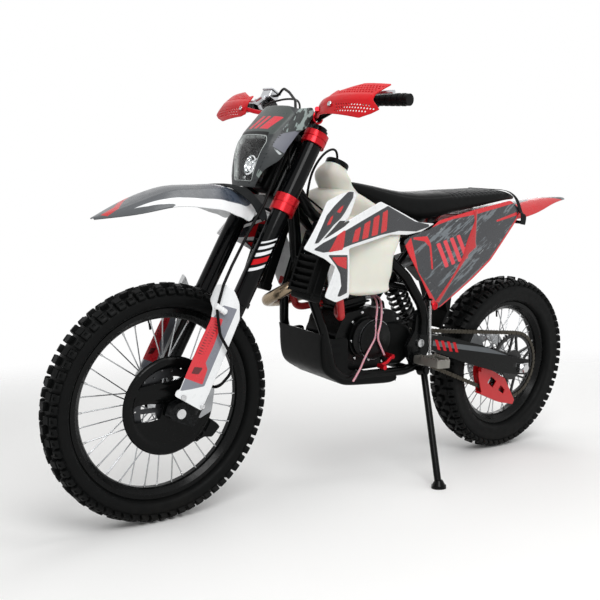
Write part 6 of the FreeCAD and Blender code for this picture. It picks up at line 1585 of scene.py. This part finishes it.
def engineCovers():
    spec = coverShape
    for name, profile, centre, material, slot, closed in (
            ("ignitionCover", "ignition", "ignitionAt", "engineBlack", "black_paint", False),
            ("ignitionCoverRim", "rim", "rimAt", "machinedAluminium", "raw_aluminium", True)):
        outwardNormals(turnedPiece(name, spec[profile], spec[centre], (0, 1, 0), material, "frame", segments=96,
                                   closed=closed, slot=slot))
    outline = divided(roundedOutline(spec["sprocket"], 16), 6)

    def surface(flat):  # the sheet rises by the square root of the distance from its border
        y = spec["sprocketY"] + 10 * np.sqrt(np.clip(distanceInside(flat, outline) / 14, 0, 1))
        return place(np.stack([flat[:, 0], y, flat[:, 1]], 1))
    panelPiece("sprocketCover", spec["sprocket"], surface, "mouldedBlack", "frame", radius=16.0,
               outward=wayOut(0, 1, 0), slot="black_plastic")
    paths = [routePoints(np.array(spec["hose"]) * (1, side, 1), 12) for side, _ in bothSides]
    tubePiece("coolantHoses", paths, spec["hoseRadius"], 28, "siliconeRed", "frame", "red_rubber", ("coolant_hoses",))


# Coarse spark-eroded polypropylene, with its two slots painted darker as painted shade in their openings
palette["skidPlastic"] = finish("grained black polypropylene skid plate", "#070808", 0.38, grain=1.4, depth=0.1,
                                specular=0.08, mottle=0.1, layers=[("slot", "#030304")])
skidPlate()
engineCovers()
print("skid plate, covers and hoses are made")


# Light, floor and background
studio = {
    "worldLight": 0.46, "floorColour": "#fcfcfb", "floorRadius": 6.0, "fadeStart": 1.6, "fadeEnd": 4.5,
    # Round lamps: place, what they look at, power in watts, diameter
    "lamps": {"keyLight": ((1.6, 2.8, 3.0), (0, 0, 0.6), 85, 2.2),
              "fillLight": ((-2.6, -2.6, 2.2), (0, 0, 0.6), 35, 2.5),
              "topLight": ((-0.6, 0.6, 3.6), (0, 0, 0.5), 34, 2.6)},
}
world = bpy.data.worlds.new("studio")
bpy.context.scene.world = world
world.use_nodes = True
tree = world.node_tree
tree.nodes.clear()
path = node(tree, "LightPath").outputs
seen = node(tree, "Math", {0: path["Is Camera Ray"], 1: path["Is Glossy Ray"]}, operation="MAXIMUM")
seen = node(tree, "Math", {0: seen, 1: path["Is Transmission Ray"]}, operation="MAXIMUM")
lit = node(tree, "Background", {"Color": (1, 1, 1, 1), "Strength": studio["worldLight"]})
shown = node(tree, "Background", {"Color": (1, 1, 1, 1), "Strength": 1.0})
node(tree, "OutputWorld", {"Surface": node(tree, "MixShader", {0: seen, 1: lit, 2: shown})})
for name, (position, target, power, size) in studio["lamps"].items():
    lamp = bpy.data.lights.new(name, "AREA")
    lamp.shape, lamp.size, lamp.energy = "DISK", size, power
    obj = bpy.data.objects.new(name, lamp)
    way = Vector(target) - Vector(position)
    obj.matrix_world = Matrix.Translation(Vector(position)) @ way.to_track_quat("-Z", "Y").to_matrix().to_4x4()
    bpy.context.scene.collection.objects.link(obj)

turn = np.linspace(0, 2 * np.pi, 96, endpoint=False)
floorMesh = bpy.data.meshes.new("floor")
floorMesh.from_pydata((studio["floorRadius"] * np.stack([np.cos(turn), np.sin(turn), 0 * turn], 1)).tolist(), [],
                      [tuple(range(96))])
floor = bpy.data.objects.new("floor", floorMesh)
bpy.context.scene.collection.objects.link(floor)
floorFinish, tree = newMaterial("matt white studio floor, fading out to the backdrop")
away = node(tree, "VectorMath", {0: node(tree, "TexCoord").outputs["Object"]}, operation="LENGTH")
fade = node(tree, "MapRange", {0: away, 1: studio["fadeStart"], 2: studio["fadeEnd"]},
            interpolation_type="SMOOTHSTEP")
matt = node(tree, "BsdfPrincipled", {"Base Color": linear(studio["floorColour"]), "Roughness": 0.9,
                                     "Specular IOR Level": 0.1})
clear = node(tree, "BsdfTransparent")
node(tree, "OutputMaterial", {"Surface": node(tree, "MixShader", {0: fade, 1: matt, 2: clear})})
floorMesh.materials.append(floorFinish)
bpy.context.scene.view_settings.view_transform = "Standard"
print("light and floor are set")
